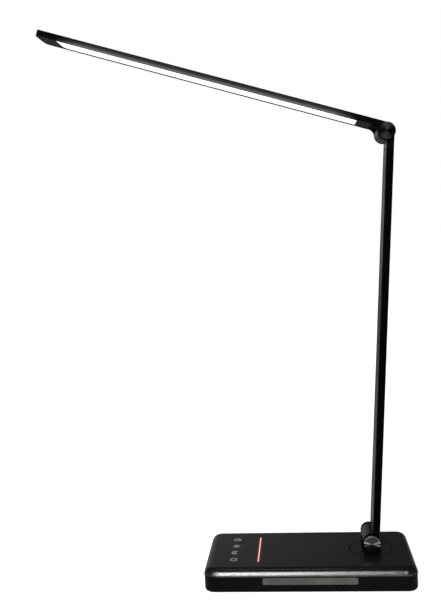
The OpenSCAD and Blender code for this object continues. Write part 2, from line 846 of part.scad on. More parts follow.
module arm_screws() {
    color([0.6, 0.6, 0.62]) at_arm() {
        arm_screw_pair();
        at_arm_top() arm_screw_pair();
    }
}

module lower_washers() {
    at_arm() hinge_washers();
}

module upper_washers() {
    at_arm() at_arm_top() hinge_washers();
}

module lower_hinge_pin() {
    translate([swivel_x, 0, pivot_z]) hinge_pin();
}

module lower_cap_far() {
    translate([swivel_x, 0, pivot_z]) end_cap();
}

module lower_cap_near() {
    translate([swivel_x, 0, pivot_z]) rotate([0, 0, 180]) end_cap();
}

// ---------- head ----------

module upper_hinge_pin() {
    at_head() hinge_pin();
}

module upper_cap_far() {
    at_head() end_cap();
}

module upper_cap_near() {
    at_head() rotate([0, 0, 180]) end_cap();
}

// Side outline of an ear with the hollow that blends it into the head's underside
module ear_outline() {
    reach = barrel_r / (barrel_r + fillet_r);
    circle(r = barrel_r);
    difference() {
        polygon([[0, 0], [0, head_bottom + eps], [-fillet_x, head_bottom + eps],
            [-fillet_x, head_bottom - eps], [-fillet_x * reach, fillet_z * reach]]);
        translate([-fillet_x, fillet_z]) circle(r = fillet_r);
    }
}

// Bar with the head's outer section, from a distance past the hinge axis
module head_bar(start, length) {
    rotate([90, 0, -90]) translate([0, (head_top + head_bottom) / 2, start]) linear_extrude(length)
        round_rect(head_w, head_t, shell_edge);
}

module head_hinge_block() {
    color([0.1, 0.1, 0.1]) at_head() difference() {
        union() {
            intersection() {
                box(-neck_len + seat, 0, -head_w / 2, head_w / 2, head_bottom, head_top);
                head_bar(-1, neck_len + 2);
            }
            for (s = [-1, 1]) translate([0, s > 0 ? ear_out : -ear_in, 0]) rotate([90, 0, 0])
                linear_extrude(ear_t) ear_outline();
            box(-neck_len - head_tongue_len, -neck_len + 1, -head_tongue_w / 2, head_tongue_w / 2,
                head_tongue_bottom, head_tongue_top);
        }
        y_bar(barrel_r + 0.4, -ear_in, ear_in);
        y_bar(barrel_r + seat, ear_out, head_w);
        y_bar(barrel_r + seat, -head_w, -ear_out);
        ear_bores();
        for (s = [-1, 1]) translate([-head_screw_x, s * head_screw_y, 0]) {
            cylinder(r = arm_screw_r + seat, h = head_top + 1);
            cylinder(r = arm_screw_head_r + slip, h = head_tongue_bottom + arm_screw_head_h);
        }
    }
}

// Plan of the head, round at its tip
module head_plan(length, half, r) {
    translate([-length, -half]) union() {
        translate([r, 0]) square([length - r, 2 * half]);
        translate([0, r]) square([r + eps, 2 * (half - r)]);
        for (y = [r, 2 * half - r]) translate([r, y]) circle(r = r);
    }
}

module head_shell() {
    color([0.06, 0.06, 0.06]) at_head() difference() {
        intersection() {
            translate([0, 0, head_bottom]) linear_extrude(head_t)
                head_plan(head_reach, head_w / 2, tip_corner);
            head_bar(neck_len, head_reach);
        }
        translate([0, 0, head_bottom - 1]) linear_extrude(cavity_top - head_bottom + 1)
            head_plan(head_reach - side_t, head_w / 2 - side_t, tip_corner - side_t);
        for (s = [-1, 1]) translate([-head_screw_x, s * head_screw_y, cavity_top - 1])
            cylinder(r = arm_screw_r + seat, h = 1 + skin_t - blind_skin);
    }
}

// Plan of the lit window: round at the tip, square at the hinge's end
module window_plan(grow, r) {
    difference() {
        head_plan(window_end + grow, window_half + grow, r);
        translate([-window_start + grow, -head_w]) square([head_w + window_start, 2 * head_w]);
    }
}

module head_bezel() {
    color([0.05, 0.05, 0.05]) at_head() translate([0, 0, head_bottom]) linear_extrude(bezel_t) difference() {
        head_plan(bezel_end, bezel_half, tip_corner - side_t - slip);
        translate([-neck_len - slip, -head_w]) square([head_w + neck_len, 2 * head_w]);
        window_plan(0, window_corner);
    }
}

module diffuser() {
    color([1, 1, 1]) at_head() union() {
        translate([0, 0, diffuser_z]) linear_extrude(diffuser_t)
            window_plan(diffuser_lap, window_corner);
        translate([0, 0, head_bottom + 0.1]) linear_extrude(diffuser_z - head_bottom)
            window_plan(-slip, window_corner - slip);
    }
}

// Flat layer over the window
module guide_layer(z, t) {
    box(-window_end + guide_inset, -window_start - guide_inset, -guide_half, guide_half, z, z + t);
}

module light_guide_plate() {
    color([0.9, 0.95, 1]) at_head()
        guide_layer(guide_z, guide_plate_t);
}

module reflector_sheet() {
    color([0.95, 0.95, 0.95]) at_head()
        guide_layer(reflector_z, reflector_t);
}

module led_board() {
    color([0.9, 0.9, 0.88]) at_head()
        box(-window_end + board_far, -window_start - board_near, board_in, board_out,
            guide_z, guide_z + board_h);
}

module led_chips() {
    pitch = (window_end - board_far - window_start - board_near - led_size[0]) / chip_count;
    first = -window_start - board_near - (led_size[0] + pitch) / 2;
    color([0.95, 0.95, 0.7]) at_head() for (i = [0:chip_count - 1])
        translate([first - i * pitch - led_size[0] / 2, board_in - seat - led_size[1], guide_z + 0.1])
            cube(led_size);
}

module head_screws() {
    color([0.6, 0.6, 0.62]) at_head() for (s = [-1, 1])
        translate([-head_screw_x, s * head_screw_y, head_tongue_bottom]) {
            cylinder(r = arm_screw_head_r, h = arm_screw_head_h);
            cylinder(r = arm_screw_r, h = head_top - blind_skin - tip_gap - head_tongue_bottom);
        }
}

base_top_cover();
base_lower_housing();
weight_plate();
base_pad();
housing_screws();
touch_board();
touch_springs();
slider_light_guide();
slider_chips();
control_board();
dc_inlet();
spindle_bush();
drawer_tray();
drawer_front();
swivel_disc();
swivel_spindle();
spindle_washer();
spindle_nut();
hinge_yoke();
yoke_screws();
lower_hinge_pin();
lower_cap_near();
lower_cap_far();
arm_lower_knuckle();
arm_profile();
arm_wire_cover();
arm_wires();
arm_upper_knuckle();
arm_screws();
lower_washers();
upper_washers();
head_hinge_block();
head_shell();
head_bezel();
diffuser();
light_guide_plate();
reflector_sheet();
led_board();
led_chips();
head_screws();
upper_hinge_pin();
upper_cap_near();
upper_cap_far();
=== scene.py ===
"""The looks of a folding desk lamp with a drawer in its base.

Every piece is in metres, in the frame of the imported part: +Z up, +X towards the end of the base
that carries the swivel, -Y towards the drawer's side, origin in the middle of the resting face.
"""
import json
import logging
import math
from dataclasses import dataclass
from enum import Enum
from functools import cache
from typing import ClassVar, Mapping, Optional, Sequence, Union

import bmesh
import bpy
import numpy as np
from mathutils import Matrix, Vector


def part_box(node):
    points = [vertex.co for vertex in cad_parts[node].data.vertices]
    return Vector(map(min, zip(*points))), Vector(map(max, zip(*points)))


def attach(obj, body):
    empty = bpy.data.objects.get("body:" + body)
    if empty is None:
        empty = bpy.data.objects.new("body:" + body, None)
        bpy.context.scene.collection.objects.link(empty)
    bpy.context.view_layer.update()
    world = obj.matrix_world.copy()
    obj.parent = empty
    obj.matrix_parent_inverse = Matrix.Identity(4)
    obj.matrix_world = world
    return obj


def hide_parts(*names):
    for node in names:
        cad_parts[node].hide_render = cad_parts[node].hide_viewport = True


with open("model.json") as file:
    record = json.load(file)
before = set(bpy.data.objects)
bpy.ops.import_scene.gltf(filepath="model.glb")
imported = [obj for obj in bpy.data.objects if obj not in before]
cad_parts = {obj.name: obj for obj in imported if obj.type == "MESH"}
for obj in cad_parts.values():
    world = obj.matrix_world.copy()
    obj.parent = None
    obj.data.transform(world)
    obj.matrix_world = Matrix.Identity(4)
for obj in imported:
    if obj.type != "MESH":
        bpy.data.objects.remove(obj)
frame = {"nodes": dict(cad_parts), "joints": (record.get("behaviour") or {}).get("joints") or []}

LOG = logging.getLogger("desk_lamp")
MM = 0.001
Colour = tuple[float, float, float]
Point = tuple[float, float, float]
Number = Union[int, float]
# A pair of numbers, such as the two distances between which something changes.
Span = tuple[float, float]
# Where a change starts and ends, with the values at those two places.
Ramp = tuple[float, float, float, float]


class Body(Enum):
    """The bodies that a piece can ride on."""

    BASE = "base"
    DRAWER = "drawer"
    SWIVEL = "swivel"
    ARM = "arm"
    HEAD = "head"


class Side(Enum):
    """Which end of a hinge a cap closes, as the sign of Y."""

    NEAR = -1
    FAR = 1


class Symbol(Enum):
    """The four plain control symbols, from the front of the base to its back."""

    POWER = "power"
    NIGHT = "night"
    TONE = "tone"
    TIMER = "timer"


class Noise(Enum):
    """Soft noises: waves per metre, octaves, and each octave's strength against the last."""

    MOULD_GRAIN = (1600.0, 2.0, 0.6)
    FLOW_MARKS = (28.0, 4.0, 0.55)
    SPARKLE = (1500.0, 2.0, 0.7)
    HAZE = (22.0, 3.0, 0.5)
    EXTRUSION = (2600.0, 2.0, 0.6)
    PORES = (5200.0, 1.0, 0.5)
    RUBBED = (35.0, 4.0, 0.6)
    SCRATCHES = (2200.0, 2.0, 0.6)
    PLATING = (60.0, 3.0, 0.5)
    STAIN = (240.0, 3.0, 0.5)
    CLOUD = (90.0, 2.0, 0.5)
    CAST_SKIN = (700.0, 5.0, 0.65)
    DUST = (45.0, 4.0, 0.5)
    WEAVE = (900.0, 2.0, 0.5)


class Cells(Enum):
    """Scattered points, as cells per metre."""

    FLAKES = 1100.0
    PITS = 420.0


LACQUER = (0.006, 0.006, 0.005)
PLATED_STEEL = (0.55, 0.55, 0.57)
SCREW_STEEL = (0.5, 0.5, 0.52)
CHIP_YELLOW = (0.85, 0.8, 0.45)


# ---------------------------------------------------------------- places in the part

def joint_place(name: str) -> Point:
    """A point on a joint's axis at rest, in metres."""
    place = {joint["name"]: joint.get("pos_m") for joint in frame["joints"]}
    return tuple(place[name])


def middle(node: str) -> Vector:
    """The middle of a CAD node's box, in metres."""
    low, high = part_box(node)
    return (low + high) / 2


def half_size(node: str) -> Vector:
    """Half the size of a CAD node's box, in metres."""
    low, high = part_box(node)
    return (high - low) / 2


# ---------------------------------------------------------------- shader maths

class Value:
    """A number socket that is written into Python expressions."""

    def __init__(self, tree: "Tree", socket: bpy.types.NodeSocket) -> None:
        """Wraps an output socket of a tree, which holds a number."""
        self.tree = tree
        self.socket = socket

    def _math(
        self, operation: str, *others: "Operand", first: Optional["Operand"] = None
    ) -> "Value":
        """Adds one Math node.

        Args:
            operation: the Math node's operation.
            others: the operands after the first.
            first: the first operand, where it isn't this value.

        Returns:
            The node's result.
        """
        operands = [self if first is None else first, *others]
        node = self.tree.node(
            "ShaderNodeMath", {"operation": operation}, dict(enumerate(operands))
        )
        return Value(self.tree, node.outputs[0])

    def __add__(self, other: "Operand") -> "Value":
        """Sum."""
        return self._math("ADD", other)

    __radd__ = __add__

    def __sub__(self, other: "Operand") -> "Value":
        """Difference."""
        return self._math("SUBTRACT", other)

    def __rsub__(self, other: Number) -> "Value":
        """A number less this value."""
        return self._math("SUBTRACT", self, first=other)

    def __mul__(self, other: "Operand") -> "Value":
        """Product."""
        return self._math("MULTIPLY", other)

    __rmul__ = __mul__

    def __truediv__(self, other: "Operand") -> "Value":
        """Quotient."""
        return self._math("DIVIDE", other)

    def __rtruediv__(self, other: Number) -> "Value":
        """A number over this value."""
        return self._math("DIVIDE", self, first=other)

    def __pow__(self, other: "Operand") -> "Value":
        """Power."""
        return self._math("POWER", other)

    def __rpow__(self, other: Number) -> "Value":
        """A number to the power of this value."""
        return self._math("POWER", self, first=other)

    def __abs__(self) -> "Value":
        """Size without its sign."""
        return self._math("ABSOLUTE")

    def sine(self) -> "Value":
        """Sine of an angle in radians."""
        return self._math("SINE")

    def root(self) -> "Value":
        """Square root."""
        return self._math("SQRT")

    def highest(self, other: "Operand") -> "Value":
        """The larger of two values."""
        return self._math("MAXIMUM", other)

    def fade(
        self, low: Number, high: Number, out_low: Number = 0.0, out_high: Number = 1.0
    ) -> "Value":
        """Maps a range smoothly to another one and stops at its ends.

        Args:
            low: the value that gives out_low.
            high: the value that gives out_high.
            out_low: the result at low.
            out_high: the result at high.

        Returns:
            The mapped value.
        """
        ends = {0: self, 1: low, 2: high, 3: out_low, 4: out_high}
        node = self.tree.node(
            "ShaderNodeMapRange", {"interpolation_type": "SMOOTHSTEP"}, ends
        )
        return Value(self.tree, node.outputs[0])


Operand = Union[Value, Number]


def reach(first: Value, second: Value) -> Value:
    """Distance from the origin: the root of the sum of two coordinates' squares."""
    return (first * first + second * second).root()


@dataclass
class Spot:
    """A place on the surface.

    Args:
        socket: the coordinates.
        x: the first of them.
        y: the second.
        z: the third.
    """

    socket: bpy.types.NodeSocket
    x: Value
    y: Value
    z: Value


class Tree:
    """The node tree of one material, with short ways to add to it."""

    def __init__(self, name: str) -> None:
        """Starts an empty material.

        Args:
            name: the material's name.
        """
        self.material = bpy.data.materials.new(name)
        self.material.use_nodes = True
        self._hold(self.material.node_tree)

    @classmethod
    def over(cls, node_tree: bpy.types.NodeTree) -> "Tree":
        """Empties a node tree that no material owns and wraps it.

        Args:
            node_tree: the tree.

        Returns:
            The wrapped tree.
        """
        tree = cls.__new__(cls)
        tree._hold(node_tree)
        return tree

    def _hold(self, node_tree: bpy.types.NodeTree) -> None:
        """Keeps the tree's nodes and links at hand, and empties it.

        Args:
            node_tree: the tree.
        """
        self.nodes = node_tree.nodes
        self.links = node_tree.links
        self.nodes.clear()

    def node(
        self,
        kind: str,
        settings: Optional[Mapping[str, object]] = None,
        values: Optional[Mapping[Union[int, str], object]] = None,
    ) -> bpy.types.Node:
        """Adds a node.

        Args:
            kind: the node's type.
            settings: attributes of the node, set first.
            values: numbers, colours, values or sockets for its inputs, by name or by index.

        Returns:
            The new node.
        """
        node = self.nodes.new(kind)
        for key, setting in (settings or {}).items():
            setattr(node, key, setting)
        for key, value in (values or {}).items():
            self.feed(node.inputs[key], value)
        return node

    def feed(self, socket: bpy.types.NodeSocket, value: object) -> None:
        """Links a value to an input, or sets the input.

        Args:
            socket: the input.
            value: a value, a socket, a number or a colour.
        """
        if isinstance(value, Value):
            self.links.new(value.socket, socket)
        elif isinstance(value, bpy.types.NodeSocket):
            self.links.new(value, socket)
        elif socket.type == "RGBA":
            socket.default_value = (*value, 1.0)
        else:
            socket.default_value = value

    def ray(self, kind: str) -> Value:
        """1 for the rays that a Light Path output names, and 0 for the others."""
        return Value(self, self.node("ShaderNodeLightPath").outputs[kind])

    def split(self, coordinates: bpy.types.NodeSocket) -> Spot:
        """Coordinates as three values."""
        parts = self.node("ShaderNodeSeparateXYZ", {}, {0: coordinates}).outputs
        return Spot(coordinates, *(Value(self, parts[axis]) for axis in range(3)))

    def place(
        self, centre: Sequence[float] = (0, 0, 0), turn: Sequence[float] = (0, 0, 0)
    ) -> Spot:
        """Object coordinates, moved so that centre is zero and then turned.

        Args:
            centre: the point that becomes the origin, in metres.
            turn: turns about X, Y and Z in radians.

        Returns:
            The coordinates.
        """
        where = self.node("ShaderNodeTexCoord").outputs["Object"]
        for key, shift in (("Location", [-c for c in centre]), ("Rotation", turn)):
            where = self.node("ShaderNodeMapping", {}, {"Vector": where, key: shift}).outputs[0]
        return self.split(where)

    def stretched(self, at: Spot, scale: Sequence[float]) -> bpy.types.NodeSocket:
        """Coordinates times a factor on each axis, for a grain that runs one way."""
        product = {"operation": "MULTIPLY"}
        return self.node("ShaderNodeVectorMath", product, {0: at.socket, 1: scale}).outputs[0]

    def noise(self, where: bpy.types.NodeSocket, kind: Noise) -> Value:
        """Soft noise from 0 to 1.

        Args:
            where: the coordinates.
            kind: which noise.

        Returns:
            The noise.
        """
        scale, detail, rough = kind.value
        values = {"Vector": where, "Scale": scale, "Detail": detail, "Roughness": rough}
        return Value(self, self.node("ShaderNodeTexNoise", {}, values).outputs[0])

    def cells(self, where: bpy.types.NodeSocket, kind: Cells) -> Value:
        """Distance to the nearest of many scattered points, in cells."""
        node = self.node("ShaderNodeTexVoronoi", {}, {"Vector": where, "Scale": kind.value})
        return Value(self, node.outputs["Distance"])

    def mixed(self, share: Operand, first: object, second: object) -> bpy.types.NodeSocket:
        """The first colour at a share of 0, the second at 1. Each is a colour or a socket."""
        node = self.node("ShaderNodeMix", {"data_type": "RGBA"}, {0: share, 6: first, 7: second})
        return node.outputs[2]

    def relief(self, height: Value, strength: float, depth: float) -> bpy.types.NodeSocket:
        """A bumped normal: a height of 1 stands for the depth, in metres."""
        values = {"Strength": strength, "Distance": depth, "Height": height}
        return self.node("ShaderNodeBump", {}, values).outputs[0]

    def surface(self, **values: object) -> bpy.types.NodeSocket:
        """A surface shader, its inputs by name with underscores for spaces."""
        named = {key.replace("_", " "): value for key, value in values.items()}
        return self.node("ShaderNodeBsdfPrincipled", {}, named).outputs[0]

    def close(self, shader: bpy.types.NodeSocket) -> bpy.types.Material:
        """Adds the output that shows a shader, and gives the finished material."""
        self.node("ShaderNodeOutputMaterial", {}, {"Surface": shader})
        return self.material

    def finish(self, **values: object) -> bpy.types.Material:
        """Adds one surface shader, its inputs given by name, and the output."""
        return self.close(self.surface(**values))

    def finish_mixed(
        self, share: Value, first: bpy.types.NodeSocket, second: bpy.types.NodeSocket
    ) -> bpy.types.Material:
        """Adds the output over the first shader at a share of 0, the second at 1."""
        both = self.node("ShaderNodeMixShader", {}, {0: share, 1: first, 2: second})
        return self.close(both.outputs[0])


# ---------------------------------------------------------------- finishes

def grey(level: float) -> Colour:
    """A grey of one level."""
    return level, level, level


def times(colour: Colour, factor: float) -> Colour:
    """A colour with each channel times a factor."""
    return tuple(factor * channel for channel in colour)


@dataclass(frozen=True)
class Finish:
    """What a piece wears. Equal finishes share one material.

    Args:
        name: the material's name.
        colour: the base colour.
    """

    name: str
    colour: Colour

    @cache
    def material(self) -> bpy.types.Material:
        """The finish's material, built when it is first asked for."""
        return self.build(Tree(self.name))

    def build(self, tree: Tree) -> bpy.types.Material:
        """Fills the material's empty tree and gives the finished material."""
        raise NotImplementedError


@dataclass(frozen=True)
class Moulded(Finish):
    """Moulded plastic: a fine eroded grain, faint flow marks and slightly uneven gloss.

    Args:
        gloss: the mean roughness.
        sheen: the shader's specular level.
        depth: depth of the grain in metres.
    """

    gloss: float = 0.45
    sheen: float = 0.35
    depth: float = 0.02 * MM

    def build(self, tree: Tree) -> bpy.types.Material:
        """Flow marks shift the colour and the roughness, and the grain stands in relief.

        Args:
            tree: the material's empty tree.

        Returns:
            The finished material.
        """
        at = tree.place()
        grain = tree.noise(at.socket, Noise.MOULD_GRAIN)
        flow = tree.noise(at.socket, Noise.FLOW_MARKS)
        darker = times(self.colour, 0.82)
        lighter = tuple(min(1.0, 1.15 * channel + 0.0004) for channel in self.colour)
        uneven = flow.fade(0.25, 0.75, self.gloss - 0.05, self.gloss + 0.06)
        return tree.finish(
            Base_Color=tree.mixed(flow.fade(0.3, 0.7), darker, lighter),
            Roughness=uneven + (grain - 0.5) * 0.08,
            Specular_IOR_Level=self.sheen,
            Normal=tree.relief(grain, 0.35, self.depth),
        )


@dataclass(frozen=True)
class SparkleBlack(Finish):
    """Black lacquered plastic with a fine sparkle, matt on the flat top, glossy on the rolled edge.

    The gloss comes and goes over pairs of distances from the cover's top and ends. Painted shade
    makes the seam around the swivel matt and black and blackens the cover's lowest edge, and a
    painted red glow lies beside the lit slider.

    Args:
        beside_slider: whether the lit slider lies in this piece.
        gloss: the mean roughness of the rolled edge.
        sheen: the shader's specular level on the rolled edge.
        matt: the mean roughness of the flat top.
        matt_sheen: the specular level of the flat top.
        roll_relief: strength and depth of the rolled edge's relief, in metres.
        top_relief: the same for the flat top.
        foot: depths under the top between which the edge turns glossy, in metres.
        crest: depths between which it turns matt again towards the flat top.
        left: distances from the left end between which it turns glossy.
        right: distances from the right end between which it turns matt again.
        line: depths between which the painted black shade along the cover's lowest edge ends.
        seam_gap: from the swivel disc's rim to the middle of the seam.
        seam_half: distances from that middle between which the painted shade ends.
        seam_painted_shade: the colour of the painted shade in the seam.
        slider_ends: length of the slider that spills no light at each end.
        glow: colour of the painted glow, emission standing in for the light the slider spills.
        glow_reach: distances from the slider's middle line over which it falls off.
    """

    beside_slider: bool = False
    gloss: float = 0.18
    sheen: float = 1.0
    matt: float = 0.4
    matt_sheen: float = 0.3
    roll_relief: Span = (0.75, 0.15 * MM)
    top_relief: Span = (0.14, 0.035 * MM)
    foot: Span = (7.2 * MM, 6.0 * MM)
    crest: Span = (0.8 * MM, 0.05 * MM)
    left: Span = (8.5 * MM, 16.0 * MM)
    right: Span = (8.0 * MM, 3.0 * MM)
    line: Span = (6.45 * MM, 6.0 * MM)
    seam_gap: float = 0.17 * MM
    seam_half: Span = (0.4 * MM, 0.75 * MM)
    seam_painted_shade: Colour = grey(0.0005)
    slider_ends: float = 1.6 * MM
    glow: Colour = (0.3, 0.008, 0.01)
    glow_reach: Span = (0.8 * MM, 2.6 * MM)

    def build(self, tree: Tree) -> bpy.types.Material:
        """A matt shader and a glossy one, mixed by the share of the rolled edge.

        Args:
            tree: the material's empty tree.

        Returns:
            The finished material.
        """
        low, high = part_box("base_top_cover")
        at = tree.place()
        fine = tree.noise(at.socket, Noise.SPARKLE)
        drawn = tree.noise(tree.stretched(at, (0.55, 1.0, 1.0)), Noise.SPARKLE)
        flakes = tree.cells(at.socket, Cells.FLAKES).fade(0.0, 0.5, 1.0, 0.0)
        hazy = tree.noise(at.socket, Noise.HAZE)
        foot, crest, line = ([high.z - depth for depth in pair]
                             for pair in (self.foot, self.crest, self.line))
        rolled = at.z.fade(*foot) * at.z.fade(*crest, 1.0, 0.0)
        rolled = rolled * at.x.fade(*(low.x + inset for inset in self.left))
        rolled = rolled * at.x.fade(*(high.x - inset for inset in self.right), 1.0, 0.0)
        # Painted shade: black in the seam around the swivel and along the cover's lowest edge.
        black = self.seam(at).highest(at.z.fade(*line, 1.0, 0.0))
        flecks = flakes * hazy.fade(0.2, 0.8, 0.5, 1.0)
        lacquer = tree.mixed(flecks, self.colour, times(self.colour, 1.9))
        shared: dict[str, object] = {"Base_Color": tree.mixed(black, lacquer, self.seam_painted_shade)}
        # Painted glow: emission beside the slider stands in for its red light on the cover.
        if self.beside_slider:
            shared["Emission_Color"] = tree.mixed(self.off_slider(at), self.glow, grey(0.0))
            shared["Emission_Strength"] = 1.0
        grit = (fine - 0.5) * 0.06
        glossy = tree.surface(
            Roughness=hazy.fade(0.3, 0.7, self.gloss - 0.01, self.gloss + 0.02) + grit,
            Specular_IOR_Level=self.sheen,
            Normal=tree.relief(drawn * 0.45 + flakes * 0.55, *self.roll_relief), **shared)
        matt = tree.surface(
            Roughness=black.fade(0.0, 1.0, self.matt, 0.9) + grit,
            Specular_IOR_Level=self.matt_sheen,
            Normal=tree.relief(fine * 0.6 + flakes * 0.4, *self.top_relief), **shared)
        return tree.finish_mixed(rolled, matt, glossy)

    def seam(self, at: Spot) -> Value:
        """The painted shade's share in the seam: it falls off with the distance from a circle about
        the swivel's axis.

        Args:
            at: the place.

        Returns:
            1 in the seam, 0 off it.
        """
        circle = half_size("swivel_disc").x + self.seam_gap
        radius = reach(at.x - middle("swivel_disc").x, at.y)
        return abs(radius - circle).fade(*self.seam_half, 1.0, 0.0)

    def off_slider(self, at: Spot) -> Value:
        """How far the slider's painted glow has fallen off: by the distance from its middle line.

        Args:
            at: the place.

        Returns:
            0 beside the slider, 1 out of its reach.
        """
        half = half_size("slider_light_guide").y - self.slider_ends
        beside = at.x - middle("slider_light_guide").x
        distance = reach((abs(at.y) - half).highest(0.0), beside)
        return distance.fade(*self.glow_reach) ** 0.35


@dataclass(frozen=True)
class Anodised(Finish):
    """Black anodised aluminium with extrusion lines along one axis of the piece.

    The wide faces keep some gloss. The narrow sides, past a distance from the middle plane, and
    anything turned deeper than a given radius are matt. With a spill colour, the narrow sides
    carry a painted glow.

    Args:
        centre: a point on the piece's axis in metres.
        lean: turn about Y, in radians, that lays the piece's length along Z.
        gloss: the mean roughness.
        sheen: the shader's specular level on the wide faces.
        coat: weight of a thin glossy layer on the wide faces.
        coat_gloss: roughness of that layer.
        dull_gloss: how much rougher the matt parts are.
        dull_sheen: their specular level.
        drawn: factor that draws the extrusion lines out along the length.
        side: distance from the middle plane, along Y, at which the narrow sides start, in metres.
        groove: X and Z of a hinge axis and the radius under which a turned groove is matt.
        spill: colour of a painted glow, an emission standing in for light that falls on the lower
            part of the sides, if any.
        spill_level: heights above the centre, square to the length, from full spill to least.
        spill_length: places along the length between which the spill falls.
        spill_ends: lengths over which it comes up at those two places.
        spill_least: the least share of it.
    """

    centre: Point = (0.0, 0.0, 0.0)
    lean: float = 0.0
    gloss: float = 0.38
    sheen: float = 0.1
    coat: float = 0.0
    coat_gloss: float = 0.12
    dull_gloss: float = 0.2
    dull_sheen: float = 0.008
    drawn: float = 0.012
    side: float = 1.0
    groove: Optional[tuple[float, float, float]] = None
    spill: Optional[Colour] = None
    spill_level: Span = (0.0, 0.0)
    spill_length: Span = (0.0, 0.0)
    spill_ends: Span = (28 * MM, 30 * MM)
    spill_least: float = 0.11

    def build(self, tree: Tree) -> bpy.types.Material:
        """A brighter shader for the wide faces and a dull one, mixed by the matt share.

        Args:
            tree: the material's empty tree.

        Returns:
            The finished material.
        """
        at = tree.place(self.centre, (0.0, self.lean, 0.0))
        lines = tree.noise(tree.stretched(at, (1.0, 1.0, self.drawn)), Noise.EXTRUSION)
        pores = tree.noise(at.socket, Noise.PORES)
        rubbed = tree.noise(at.socket, Noise.RUBBED)
        worn = lines.fade(0.35, 0.75) * 0.6 + rubbed.fade(0.5, 0.8) * 0.3
        shared: dict[str, object] = {
            "Base_Color": tree.mixed(worn, self.colour, times(self.colour, 2.2)),
            "Normal": tree.relief(lines * 0.7 + pores * 0.3, 0.3, 0.01 * MM),
        }
        matt = abs(at.y).fade(self.side - 0.5 * MM, self.side)
        # Painted glow: emission on the narrow sides stands in for the diffuser's spilled light.
        if self.spill is not None:
            share = matt * self.spilled(at)
            shared["Emission_Color"] = tree.mixed(share, grey(0.0), self.spill)
            shared["Emission_Strength"] = 1.0
        if self.groove is not None:
            x, z, floor = self.groove
            here = tree.place((x, 0.0, z))
            matt = matt.highest(reach(here.x, here.z).fade(floor - 0.1 * MM, floor, 1.0, 0.0))
        rough = rubbed.fade(0.3, 0.7, self.gloss - 0.04, self.gloss + 0.06)
        rough = rough + (lines - 0.5) * 0.16
        bright = tree.surface(Roughness=rough, Specular_IOR_Level=self.sheen,
                              Coat_Weight=self.coat, Coat_Roughness=self.coat_gloss, **shared)
        dull = tree.surface(Roughness=rough + self.dull_gloss,
                            Specular_IOR_Level=self.dull_sheen, **shared)
        return tree.finish_mixed(matt, bright, dull)

    def spilled(self, at: Spot) -> Value:
        """The painted glow's share: a fade along the length times the cube of one over the height.

        Args:
            at: the place, with the length along Z.

        Returns:
            The share, from spill_least to 1 between the two ends.
        """
        start, end = self.spill_length
        up, down = self.spill_ends
        inside = at.z.fade(start, start + up) * at.z.fade(end - down, end, 1.0, 0.0)
        near = at.x.fade(*self.spill_level, 1.0, 0.0) ** 3.0
        return inside * (near * (1.0 - self.spill_least) + self.spill_least)


@dataclass(frozen=True)
class Metal(Finish):
    """Bare or plated metal with a fine scratch grain.

    Args:
        gloss: the mean roughness.
    """

    gloss: float = 0.3

    def build(self, tree: Tree) -> bpy.types.Material:
        """Dull patches shift the colour and the roughness, and the scratches stand in relief.

        Args:
            tree: the material's empty tree.

        Returns:
            The finished material.
        """
        at = tree.place()
        grain = tree.noise(at.socket, Noise.SCRATCHES)
        dull = tree.noise(at.socket, Noise.PLATING)
        uneven = dull.fade(0.3, 0.7, self.gloss - 0.05, self.gloss + 0.07)
        return tree.finish(
            Base_Color=tree.mixed(dull, times(self.colour, 0.8), self.colour),
            Metallic=1.0,
            Roughness=uneven + (grain - 0.5) * 0.14,
            Normal=tree.relief(grain, 0.25, 0.01 * MM),
        )


